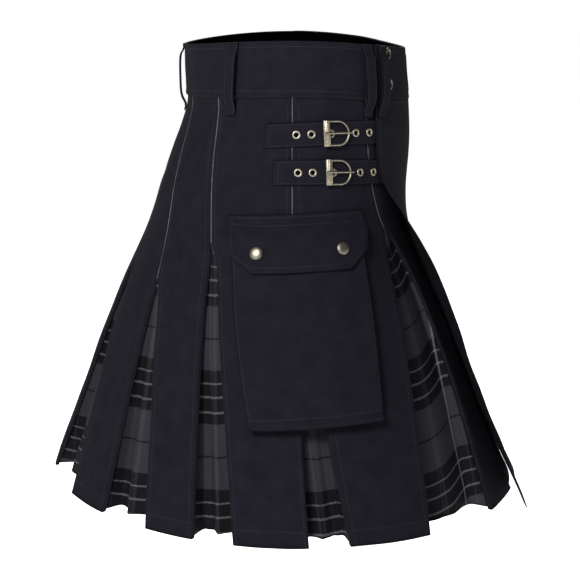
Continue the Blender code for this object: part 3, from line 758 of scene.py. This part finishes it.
def cloth_piece(node, grid, wall, finish=BLACK_TWILL, cloth=None, inside=None):
    """The shell of a CAD node, whose own solid is hidden."""
    made = shell(f"cloth_{node}", grid, wall, cloth_places(grid) if cloth is None else cloth, finish, inside)
    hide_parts(node)
    across, down = arc_lengths(grid)


def dark_panels():
    for number in range(1, 6):
        before = PLEATS[number - 1]
        folds = (True, number < 5)

        def edges(height, before=before, number=number):
            front_side = pleat_opening(before, height)[1]
            if number < 5:
                return front_side, pleat_opening(PLEATS[number], height)[0]
            return front_side, straight_column(TUCKED_EDGE, height)

        for side, mirrored in SIDES:
            grid = panel_grid(edges, folds, PANEL_WIDTHS[number], 10 * number + mirrored)
            panel_shell(f"panel_{number}_{side}", turned_over(grid, mirrored), folds)

    def back_edges(height):
        near = pleat_opening(PLEATS[0], height)[0]
        return -180 - near, near

    grid = panel_grid(back_edges, (True, True), PANEL_WIDTHS[1], 7)
    panel_shell("panel_back", grid, (True, True))


# Soft folds of each insert: share across, half width as a share, height where it starts, depth at the hem
INSERT_FOLDS = {
    "1": ((0.35, 0.10, -0.30, 0.006), (0.70, 0.09, -0.34, -0.004)),
    "2": ((0.42, 0.09, -0.33, 0.011), (0.75, 0.08, -0.36, -0.005)),
    "3": ((0.48, 0.08, -0.34, 0.007), (0.26, 0.07, -0.40, -0.004), (0.78, 0.07, -0.42, -0.003)),
    "4": ((0.38, 0.08, -0.36, 0.006), (0.72, 0.07, -0.42, -0.004)),
    "5": ((0.30, 0.07, -0.36, 0.002), (0.60, 0.08, -0.42, 0.0025), (0.85, 0.05, -0.44, -0.002)),
}
# How far the middle of each insert stands forward at the hem
INSERT_RIDGE = {"1": 0.006, "2": 0.006, "3": 0.005, "4": 0.005, "5": 0.001}
# Where the check's pale block starts, measured down each insert from a height of -0.2
SETT_ACROSS_MIDDLE = 0.0414  # inside the check's pale lengthwise stripe
SETT_STARTS = {"1": 0.0906, "2": 0.1103, "3": 0.1103, "4": 0.1043, "5": 0.1055}
SETT_ACROSS_YOKE = 0.0904  # on its brightest one
YOKE_SHOW = 0.0051  # how far an insert stands forward between the panels where its pleat is sewn shut
YOKE_SHOW_WIDTH = 0.17  # half width of that rise, as a share across


def insert_grid(pleat, seed):
    """A tartan insert: in from one panel's edge, across with soft folds, and out to the next one."""
    heights = row_heights()
    share = open_share(pleat, heights)
    first, last = pleat_opening(pleat, heights)
    start = edge_fold(heights) + INSERT_START
    depth = YOKE_DEPTH + COTTON * 0.5 + (PLEAT_DEPTH - YOKE_DEPTH) * share
    middle = (first + last) / 2
    lean = degrees_of(INSERT_LEAN * (1 - share), middle, heights)
    ridge = INSERT_RIDGE[pleat[0]] * share
    side_steps = np.linspace(0, 1, 6)[None, :]
    floor_steps = np.linspace(0, 1, 31)[None, :]
    in_angles = first - lean + 0 * side_steps
    in_outsets = -start + (start - depth) * side_steps
    floor_angles = first - lean + (last - first + 2 * lean) * floor_steps
    arch = np.sin(math.pi * floor_steps) ** 2
    closed = np.clip(1 - share * 9, 0, 1)
    show = YOKE_SHOW * closed * hump(floor_steps - 0.5, YOKE_SHOW_WIDTH)
    floor_outsets = -depth + ridge * arch + show
    for spot, width, level, rise in INSERT_FOLDS[pleat[0]]:
        grown = np.clip((level - heights) / (level - HEM_HEIGHT), 0, 1) ** 0.8
        floor_outsets = floor_outsets + rise * grown * hump(floor_steps - spot, width)
    floor_outsets = floor_outsets + rumple(floor_angles * ARC, heights, 0.06, seed) * 0.0006 * share
    out_angles = last + lean + 0 * side_steps
    out_outsets = -depth + (depth - start) * side_steps
    angles = np.concatenate([in_angles[:, :-1], floor_angles, out_angles[:, 1:]], axis=1)
    outsets = np.concatenate([in_outsets[:, :-1], floor_outsets, out_outsets[:, 1:]], axis=1)
    levels = heights + INSERT_HEM_LIFT * np.clip((heights - HEM_HEIGHT - 0.02) / -0.02, 0, 1)
    for _ in range(3):
        for values in (angles, outsets):
            values[:, 1:-1] = (values[:, :-2] + 2 * values[:, 1:-1] + values[:, 2:]) / 4
    return body_point(angles, levels, outsets)


def tartan_inserts():
    for pleat in PLEATS:
        for side, mirrored in SIDES:
            grid = insert_grid(pleat, 40 + int(pleat[0]) + 10 * mirrored)
            across, down = arc_lengths(grid)
            start_down = SETT_STARTS[pleat[0]]
            heights = row_heights()
            sewn = np.clip(1 - open_share(pleat, heights) / 0.02, 0, 1)
            start_across = SETT_ACROSS_MIDDLE + (SETT_ACROSS_YOKE - SETT_ACROSS_MIDDLE) * sewn
            offset = np.interp(-0.2, heights[::-1, 0], down[::-1, down.shape[1] // 2])
            cloth = np.stack([across + start_across, down - offset - start_down + 2 * SETT], -1)
            grid = turned_over(grid, mirrored)
            cloth_piece(f"insert_{pleat[0]}_{side}", grid, SKIN, TARTAN, cloth)


def apron_grid(seed):
    heights = row_heights()
    edge, stand_edge, stand_middle = np.moveaxis(smooth_columns(APRON, heights), -1, 0)
    sides = np.linspace(-1, 1, 81)[None, :]
    angles = 90 + sides * (90 - edge)
    outsets = stand_middle + (stand_edge - stand_middle) * np.maximum(0.0, -sides) ** APRON_FALL
    waves = rumple(angles * ARC, heights, 0.09, seed) * (0.0002 + 0.001 * lowness(heights))
    outsets = outsets + creases(angles, heights) + waves
    return body_point(angles, heights, outsets)


def front_apron():
    grid = apron_grid(3)
    cloth_piece("front_apron", grid, SKIN)
    for column in (1, 2, -3, -2):
        stitch_grid(grid, slice(2, None), column)
    stitch_grid(grid, -5, slice(2, -2))


def under_apron():
    heights = row_heights()
    edge = straight_column(UNDER_APRON, heights)
    angles = edge + (180 - 2 * edge) * np.linspace(0, 1, 61)[None, :]
    outsets = -COTTON - UNDER_APRON_GAP + rumple(angles * ARC, heights, 0.08, 5) * 0.0002
    grid = body_point(angles, heights, outsets)
    cloth_piece("under_apron", grid, SKIN)
    stitch_grid(grid, -5, slice(2, -2))


def band_outset(angle):
    """How far the band's overlap lies out: on the cloth at the left hip, on the underlap at the front."""
    start, end = LEFT_SEAM - 40, UNDERLAP_END + 8
    share = np.clip((start - angle) / (start - end), 0.0, 1.0)
    return SEAM_GAP + OVERLAP_RAISE * share * share * (3 - 2 * share)


def band_grid(angles, overlap):
    top_rows = [0.0, -0.0012, -0.004, -0.0065]
    foot_rows = [-0.057, -0.0595, -0.062, -BAND_HEIGHT]
    heights = np.concatenate([top_rows, np.linspace(-0.010, -0.052, 8), foot_rows])[:, None]
    angles = angles[None, :]
    base = (band_outset(angles) if overlap else SEAM_GAP) + BAND_WALL
    edge = np.minimum(-heights, heights + BAND_HEIGHT)
    roll = 0.0008 * hump(edge, 0.0012)
    groove = 0.0005 * hump(edge - 0.0065, 0.0016)
    wave = rumple(angles * BAND_ARC, heights, 0.045, 21) * 0.0004 * np.clip(edge / 0.01, 0, 1)
    outsets = base - roll - groove + wave + creases(angles, heights) * np.clip(edge / 0.012, 0, 1)
    return body_point(angles, heights, outsets)


def waistband():
    gap = float(degrees_of(SEAM_GAP, LEFT_SEAM, 0.0))
    spans = (
        ("body", np.linspace(-LEFT_SEAM + gap, UNDERLAP_END, 241), False),
        ("overlap", np.linspace(OVERLAP_END, LEFT_SEAM, 131), True),
    )
    for name, angles, overlap in spans:
        grid = band_grid(angles, overlap)
        # Its inner faces take the near-black painted shade
        cloth_piece(f"waistband_{name}", grid, BAND_SKIN, inside=BAND_INSIDE_SHADE)
        for row in (3, -4):
            stitch_grid(grid, row, slice(1, -1))


def belt_loops():
    profile = np.array(LOOP_PROFILE)
    heights = np.linspace(LOOP_PROFILE[0][0], LOOP_PROFILE[-1][0], 33)
    stands = smooth_columns(LOOP_PROFILE, heights)[:, 0]
    for name, top, foot, raised in LOOPS:
        share = (heights / profile[-1, 0])[:, None]
        middle = top + (foot - top) * share
        half = degrees_of(LOOP_WIDTH / 2, middle, heights[:, None])
        sides = np.linspace(-1, 1, 9)[None, :]
        angles = middle + half * sides
        base = (band_outset(middle) if raised else SEAM_GAP) + BAND_WALL
        foot_base = APRON[0][2] if name == "overlap" else 0.0
        base = np.where(heights[:, None] < LOOP_FOOT, foot_base, base)
        for _ in range(4):
            base[1:-1] = (base[:-2] + 2 * base[1:-1] + base[2:]) / 4
        crown = -0.0004 * sides**4
        outsets = base + stands[:, None] + LOOP_WALL + crown
        grid = body_point(angles, heights[:, None], outsets)
        cloth_piece(f"belt_loop_{name}", grid, LOOP_SKIN)
        for column in (1, -2):
            stitch_grid(grid, slice(0, None), column)


def strap_point(strap, share, side, outset):
    _, middle, rise, width, first, last, _, _ = strap
    angle = first + (last - first) * share
    height = middle + rise * share + side * width
    return body_point(angle, height, STRAP_LIFT + outset)


def straps():
    for strap in STRAPS:
        shares = np.concatenate([[0.0, 0.006], np.linspace(0.02, 1.0, 60)])[None, :]
        half = np.array([0.5, 0.485, 0.44, 0.38, 0.30, 0.2, 0.1])
        sides = np.concatenate([half, [0.0], -half[::-1]])[:, None]
        edge = (0.5 - np.abs(sides)) * strap[3]
        roll = 0.0006 * hump(edge, 0.0009) + 0.0004 * hump(shares, 0.008)
        groove = 0.00025 * hump(edge - 0.0034, 0.001)
        grid = strap_point(strap, shares, sides, STRAP_WALL - roll - groove)
        cloth_piece(f"strap_{strap[0]}", grid, STRAP_SKIN)
        for row in (2, -3):
            stitch_grid(grid, row, slice(2, None))
        stitch_grid(grid, slice(2, -2), 3)


def strap_frame(strap, share, lift):
    """Lies on the middle of a strap's outer face, x along it and z out of it."""
    top = Vector(strap_point(strap, share, 0.5, STRAP_WALL))
    bottom = Vector(strap_point(strap, share, -0.5, STRAP_WALL))
    before = Vector(strap_point(strap, share - 0.02, 0.0, STRAP_WALL))
    after = Vector(strap_point(strap, share + 0.02, 0.0, STRAP_WALL))
    along = (after - before).normalized()
    out = along.cross(top - bottom).normalized()
    placed = Matrix((along, out.cross(along).normalized(), out)).transposed().to_4x4()
    placed.translation = (top + bottom) / 2 + out * lift
    return placed


def placed_mesh(name, points, faces, place, finish):
    made = mesh_object(name, [place @ Vector(p) for p in points], faces)
    turn_out(made)
    made.data.set_sharp_from_angle(angle=math.radians(50))
    made.data.materials.append(finish)
    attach(made, "root")
    return made


def turned(name, profile, place, finish, segments=40):
    """A round piece from (radius, height) points, as a ring or closed along its axis."""
    points, faces, rings = [], [], []
    for radius, height in profile:
        if radius == 0:
            rings.append([len(points)])
            points.append((0.0, 0.0, height))
            continue
        rings.append(list(range(len(points), len(points) + segments)))
        for k in range(segments):
            turn = 2 * math.pi * k / segments
            points.append((radius * math.cos(turn), radius * math.sin(turn), height))
    pairs = list(zip(rings, rings[1:]))
    if len(rings[0]) > 1 and len(rings[-1]) > 1:
        pairs.append((rings[-1], rings[0]))
    for low, high in pairs:
        for k in range(segments):
            m = (k + 1) % segments
            corners = [low[k % len(low)], low[m % len(low)], high[m % len(high)], high[k % len(high)]]
            faces.append(tuple(dict.fromkeys(corners)))
    return placed_mesh(name, points, faces, place, finish)


def eyelets():
    rim = []
    for k in range(9):
        turn = math.pi * k / 8
        middle, half = (EYELET_OUTER + EYELET_HOLE) / 2, (EYELET_OUTER - EYELET_HOLE) / 2
        rim.append((middle - half * math.cos(turn), EYELET_HEIGHT * (0.2 + 0.8 * math.sin(turn))))
    profile = [(EYELET_HOLE, 0.0)] + rim + [(EYELET_OUTER, 0.0)]
    for strap in STRAPS:
        for number, share in enumerate(strap[6], 1):
            place = strap_frame(strap, share, SEAM_GAP)
            ring = turned(f"metal_eyelet_{strap[0]}_{number}", profile, place, BRASS)
            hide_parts(f"eyelet_{strap[0]}_{number}")
            # A near-black disc across the hole: painted shade for the hole's dark depth
            reach = EYELET_HOLE * 0.98
            disc = ((0.0, -0.0001), (reach, -0.0001), (reach, 0.0002), (0.0, 0.0002))
            turned(f"hole_{strap[0]}_{number}", disc, place, HOLE_SHADE)


def joined_rings(points, count):
    """Points and faces of a closed piece whose points lie in rings of this many, one after the other."""
    last = len(points) - count
    faces = []
    for first in range(0, last, count):
        for j in range(count):
            m = (j + 1) % count
            faces.append((first + j, first + m, first + count + m, first + count + j))
    faces.append(tuple(range(count)))
    faces.append(tuple(range(last, len(points))))
    return points, faces


def ring_turns(sides):
    return [2 * math.pi * j / sides for j in range(sides)]


def tube(path, radius, sides=10):
    """A round wire along a path in the x-y plane, its ends closed."""
    points = []
    path = [np.array(p, float) for p in path]
    for k, spot in enumerate(path):
        ahead = path[min(k + 1, len(path) - 1)] - path[max(k - 1, 0)]
        ahead /= np.linalg.norm(ahead)
        side = np.array([-ahead[1], ahead[0], 0.0])
        for turn in ring_turns(sides):
            points.append(spot + radius * (math.cos(turn) * side + math.sin(turn) * np.array([0, 0, 1.0])))
    return joined_rings(points, sides)


def buckles():
    for strap in STRAPS:
        lift = EYELET_HEIGHT + 2 * SEAM_GAP
        place = strap_frame(strap, strap[7], lift)
        place = place @ Matrix.Translation((-(BUCKLE_REACH - BUCKLE_BAR) / 2, 0, 0))
        half = BUCKLE_HEIGHT / 2
        wire = BUCKLE_WIRE / 2
        reach = half - wire
        bow = BUCKLE_REACH - BUCKLE_BAR - half
        path = [(BUCKLE_BAR / 2 - 0.001, reach, wire)]
        for k in range(25):
            turn = math.pi / 2 - math.pi * k / 24
            path.append((BUCKLE_BAR / 2 + bow + reach * math.cos(turn), reach * math.sin(turn), wire))
        path.append((BUCKLE_BAR / 2 - 0.001, -reach, wire))
        for piece, shape, node in (
            ("buckle_bow", tube(path, wire), "buckle_frame"),
            ("buckle_bar", grooved_bar(), "buckle_frame"),
            ("prong", prong(), "buckle_prong"),
        ):
            made = placed_mesh(f"metal_{piece}_{strap[0]}", *shape, place, BRASS)
            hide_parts(f"{node}_{strap[0]}")


def grooved_bar():
    """The buckle's wide bar, with upright grooves, rounded at its long edges."""
    half_wide, half_high = BUCKLE_BAR / 2, BUCKLE_HEIGHT / 2
    thick = BUCKLE_WIRE
    section = [(-half_wide, 0.0), (-half_wide, thick * 0.6)]
    steps = 24
    for k in range(steps + 1):
        share = k / steps
        dome = thick * (0.72 + 0.28 * math.sin(math.pi * share))
        cut = BAR_GROOVE * (0.5 - 0.5 * math.cos(2 * math.pi * share * BAR_GROOVES))
        section.append((-half_wide + 0.0003 + (BUCKLE_BAR - 0.0006) * share, dome - cut))
    section += [(half_wide, thick * 0.6), (half_wide, 0.0)]
    points = []
    for y in (-half_high, -half_high + 0.0006, half_high - 0.0006, half_high):
        drop = 0.0005 if abs(y) == half_high else 0.0
        points += [(x, y, z - drop if z > 0 else z) for x, z in section]
    return joined_rings(points, len(section))


def prong():
    """A tapered tongue that starts over the bar, runs over the strap and rests on the bow."""
    end = BUCKLE_REACH - BUCKLE_BAR / 2 + PRONG_TIP
    height = PRONG * PRONG_FLATNESS
    last = 18
    sides = 10
    points = []
    for k in range(last + 1):
        share = k / last
        wide = PRONG * (0.62 - 0.20 * share) * (0.6 if k == last else 1.0)
        sag = 0.0004 * math.sin(math.pi * min(1.0, max(0.0, share * 1.2 - 0.2)))
        rise = BUCKLE_WIRE + SEAM_GAP + height - sag
        for turn in ring_turns(sides):
            x = PRONG_TAIL + (end - PRONG_TAIL) * share
            points.append((x, wide * math.cos(turn), rise + height * math.sin(turn)))
    return joined_rings(points, sides)


def patch_point(top, bottom, across, down, outset):
    """A point of a patch whose top and bottom are each given as height, angle behind and angle in front."""
    level, first, last = (high + (low - high) * down for high, low in zip(top, bottom))
    return body_point(first + (last - first) * across, level + POCKET_TILT * (across - 0.5), outset)


def pocket_point(across, down, outset):
    top, bottom = (POCKET_TOP, *POCKET_TOP_ANGLES), (POCKET_BOTTOM, *POCKET_BOTTOM_ANGLES)
    return patch_point(top, bottom, across, down, outset)


def pocket_depth(across, down):
    """How far the pocket's face stands off the panels behind it."""
    fullness = 1 + POCKET_FULLNESS * np.sin(math.pi * across) * np.sin(math.pi * down)
    return (POCKET_DEPTH_TOP + (POCKET_DEPTH_BOTTOM - POCKET_DEPTH_TOP) * down) * fullness


# Creases on the pocket's face: share across, share down, half length, half width, slant, depth
POCKET_CREASES = (
    (0.30, 0.27, 0.055, 0.0045, 6, -0.0034),
    (0.62, 0.22, 0.050, 0.0040, 5, -0.0022),
    (0.12, 0.44, 0.022, 0.0045, 60, -0.0030),
    (0.50, 0.34, 0.060, 0.0090, 3, 0.0016),
    (0.78, 0.20, 0.030, 0.0060, -10, 0.0009),
    (0.60, 0.62, 0.050, 0.0110, 12, -0.0009),
    (0.25, 0.80, 0.040, 0.0090, -8, 0.0009),
    (0.85, 0.72, 0.050, 0.0080, 82, -0.0010),
    (0.50, 0.93, 0.080, 0.0050, 2, 0.0008),
)


def pocket_creases(across, down, flip):
    total = 0.0
    for spot, level, length, width, slant, depth in POCKET_CREASES:
        x = (across - (1 - spot if flip else spot)) * POCKET_WIDTH
        y = (level - down) * POCKET_HEIGHT
        total = total + depth * crease(x, y, length, width, -slant if flip else slant)
    return total


def pocket_bodies():
    rows = np.linspace(0, 1, 49)
    face_columns = np.linspace(0, 1, 45)
    gusset = np.array([0.0, 0.33, 0.66, 0.9, 0.98])
    walls = len(gusset)
    across = np.concatenate([0 * gusset, face_columns, 0 * gusset + 1])[None, :]
    depth_share = np.concatenate([gusset, 0 * face_columns + 1, gusset[::-1]])[None, :]
    down = rows[:, None]
    for side, mirrored in SIDES:
        edge = np.minimum(across, 1 - across) * POCKET_WIDTH
        low = (1 - down) * POCKET_HEIGHT
        round_side = 0.0016 * (hump(edge, 0.0018) + hump(low, 0.0018))
        ridge = 0.0014 * hump(low - 0.0050, 0.0022) - 0.0022 * hump(low - 0.0098, 0.0018)
        fade = np.clip(edge / 0.01, 0, 1) * np.clip(low / 0.01, 0, 1)
        waves = rumple(across * POCKET_WIDTH, down * POCKET_HEIGHT, 0.05, 60 + mirrored) * 0.0007
        face = pocket_depth(across, down) - round_side + ridge
        face = face + (pocket_creases(across, down, mirrored) + waves) * fade
        outsets = POCKET_SEAT + (face - POCKET_SEAT) * depth_share
        pinch = POCKET_PINCH * np.sin(math.pi * depth_share) * (depth_share < 1)
        shrink = np.where(across < 0.5, pinch, -pinch) / POCKET_WIDTH
        grid = pocket_point(across + shrink, down, outsets)
        foot = []
        for share in (0.94, 0.7, 0.4, 0.15, 0.0):
            level = 1.0 - POCKET_FOOT_TUCK * math.sin(math.pi * share)
            depth = POCKET_SEAT + (outsets[-1:] - POCKET_SEAT) * share
            foot.append(pocket_point(across + shrink * 0.5, level + 0 * across, depth)[0])
        grid = np.concatenate([grid, np.stack(foot)], axis=0)
        grid = turned_over(grid, mirrored)
        cloth_piece(f"pocket_body_{side}", grid, SKIN)
        stitch_grid(grid, slice(0, 47), walls + 1)
        stitch_grid(grid, slice(0, 47), grid.shape[1] - walls - 2)
        stitch_grid(grid, 45, slice(walls + 1, grid.shape[1] - walls - 1))


def flap_outset(share):
    """How far the flap's back stands off: sewn on at its top, then over the pocket, then flaring a little."""
    clear = POCKET_DEPTH_TOP + FLAP_CLEARANCE
    rise = np.clip(share / FLAP_RISE_END, 0.0, 1.0)
    flare = FLAP_FLARE * np.maximum(0.0, share - FLAP_RISE_END)
    return FLAP_LIFT + (clear - FLAP_LIFT) * rise * rise * (3 - 2 * rise) + flare


def flap_point(across, down, outset):
    corner = np.minimum(across, 1 - across) * FLAP_WIDTH
    cut = FLAP_CHAMFER_HEIGHT * np.maximum(0.0, 1 - corner / FLAP_CHAMFER)
    share = down * (1 - cut / (FLAP_TOP - FLAP_BOTTOM))
    top, bottom = (FLAP_TOP, *FLAP_ANGLES_TOP), (FLAP_BOTTOM, *FLAP_ANGLES_BOTTOM)
    return patch_point(top, bottom, across, share, outset + flap_outset(share))


def pocket_flaps():
    corner = FLAP_CHAMFER / FLAP_WIDTH
    slant = np.linspace(0, corner, 8)[:-1]
    across = np.concatenate([slant, np.linspace(corner, 1 - corner, 33), 1 - slant[::-1]])
    across[1], across[-2] = 0.012, 0.988
    top_steps, foot_steps = [0.0, 0.02, 0.05, 0.09, 0.13, 0.18], [0.90, 0.935, 0.975, 1.0]
    down = np.concatenate([top_steps, np.linspace(0.24, 0.86, 12), foot_steps])
    for side, mirrored in SIDES:
        wide, deep = across[None, :], down[:, None]
        side_edge = np.minimum(wide, 1 - wide) * FLAP_WIDTH
        edge = np.minimum(side_edge, np.minimum(deep + 0.02, 1 - deep) * FLAP_HEIGHT)
        roll = 0.0009 * hump(edge, 0.0012)
        top_rows = 0.0006 * (hump(deep - 0.05, 0.02) + hump(deep - 0.16, 0.02))
        waves = rumple(wide * FLAP_WIDTH, deep * FLAP_HEIGHT, 0.045, 80 + mirrored) * 0.0006
        waves = waves * np.clip(edge / 0.01, 0, 1)
        dents = 0.0
        for spot in FLAP_CAP_SPOTS:
            far = np.hypot((wide - spot) * FLAP_WIDTH, (deep - FLAP_CAP_DOWN) * FLAP_HEIGHT)
            dents = dents - 0.0009 * hump(far, 0.013)
        grid = flap_point(wide, deep + 0 * wide, FLAP_WALL - roll - top_rows + waves + dents)
        grid = turned_over(grid, mirrored)
        cloth_piece(f"pocket_flap_{side}", grid, FLAP_SKIN)
        for row in (2, 5, -4):
            stitch_grid(grid, row, slice(2, -2))
        for column in (2, -3):
            stitch_grid(grid, slice(2, -3), column)


def round_piece(node, name, profile):
    """Puts a turned piece where a round CAD node is, with its foot on the node's flat back."""
    points = np.array([v.co[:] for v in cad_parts[node].data.vertices])
    middle = points.mean(0)
    axis = np.linalg.svd(points - middle)[2][2]
    if axis[0] * middle[0] + axis[1] * middle[1] < 0:
        axis = -axis
    heights = (points - middle) @ axis
    base = points[heights < heights.min() + 0.0002]
    along = Vector(np.cross((0, 0, 1.0), axis)).normalized()
    out = Vector(axis)
    place = Matrix((along, out.cross(along), out)).transposed().to_4x4()
    place.translation = Vector((base.min(0) + base.max(0)) / 2)
    made = turned(name, profile, place, CAP, 48)
    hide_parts(node)


def snaps():
    # Each profile lists radius and height from the foot, all the way round
    cap = [(0.0, 0.0), (0.0072, 0.0), (0.0075, 0.0005), (0.0075, 0.0011), (0.0072, 0.0015), (0.0066, 0.0017)]
    for k in range(1, 9):
        turn = math.pi / 2 * k / 8
        cap.append((0.0066 * math.cos(turn) if k < 8 else 0.0, 0.0017 + 0.0017 * math.sin(turn)))
    for side in ("right", "left"):
        for number in (1, 2):
            round_piece(f"pocket_snap_{side}_{number}", f"metal_pocket_snap_{side}_{number}", cap)
    ring = [(0.0036, 0.0), (0.0036, 0.0009), (0.0042, 0.0014), (0.0050, 0.0018)]
    ring += [(0.0058, 0.0016), (0.0066, 0.0010), (0.0070, 0.0005), (0.0070, 0.0)]
    for number in (1, 2):
        round_piece(f"waist_snap_{number}", f"metal_waist_snap_{number}", ring)


# Camera, floor and light

CAMERA_PLACE = (-1.8, 0.0055, 0.068)
CAMERA_DOWN = 12.4  # degrees that it looks down
SENSOR = 36.0  # millimetres
PICTURE_REACH = 1410.0 / 580.0  # focal length in picture widths
FLOOR_HEIGHT = -1.05
FLOOR_SIZE = 1600.0
FLOOR_GLOW = 0.93
SKY_GLOW = 0.08
LIGHTS_AIM = (0, 0, -0.25)
# Name, place, width across, watts
LIGHTS = (("key", (-2.45, 0.95, 1.45), 0.9, 120.0), ("far_side", (2.6, 0.0, 1.5), 1.2, 75.0))


def camera():
    made = bpy.data.objects.new("camera", bpy.data.cameras.new("camera"))
    bpy.context.scene.collection.objects.link(made)
    made.location = CAMERA_PLACE
    made.rotation_euler = (math.radians(90 - CAMERA_DOWN), 0.0, math.radians(-90))
    made.data.sensor_width = SENSOR
    made.data.lens = PICTURE_REACH * SENSOR
    made.data.clip_end = 2000.0
    bpy.context.scene.camera = made


def area_light(name, place, size, watts):
    data = bpy.data.lights.new(name, "AREA")
    data.shape = "DISK"
    data.size = size
    data.energy = watts
    made = bpy.data.objects.new(name, data)
    bpy.context.scene.collection.objects.link(made)
    made.location = place
    away = Vector(place) - Vector(LIGHTS_AIM)
    made.rotation_euler = away.to_track_quat("Z", "Y").to_euler()


def studio():
    bpy.ops.mesh.primitive_plane_add(size=FLOOR_SIZE, location=(0, 0, FLOOR_HEIGHT))
    floor = bpy.context.object
    floor.name = "floor"
    pale = plain("pale_floor", (0.92, 0.92, 0.92), 0.9, 0.5)
    shader = pale.node_tree.nodes["Principled BSDF"]
    shader.inputs["Emission Color"].default_value = (1.0, 1.0, 1.0, 1.0)
    shader.inputs["Emission Strength"].default_value = FLOOR_GLOW
    floor.data.materials.append(pale)
    world = bpy.data.worlds.new("studio")
    bpy.context.scene.world = world
    world.use_nodes = True
    sky = world.node_tree.nodes["Background"]
    sky.inputs[0].default_value = (1.0, 1.0, 1.0, 1.0)
    sky.inputs[1].default_value = SKY_GLOW
    for light in LIGHTS:
        area_light(*light)
    bpy.context.scene.view_settings.view_transform = "Standard"


camera()
studio()
dark_panels()
tartan_inserts()
front_apron()
under_apron()
waistband()
belt_loops()
straps()
eyelets()
buckles()
pocket_bodies()
pocket_flaps()
snaps()
finish_stitching(THREAD)
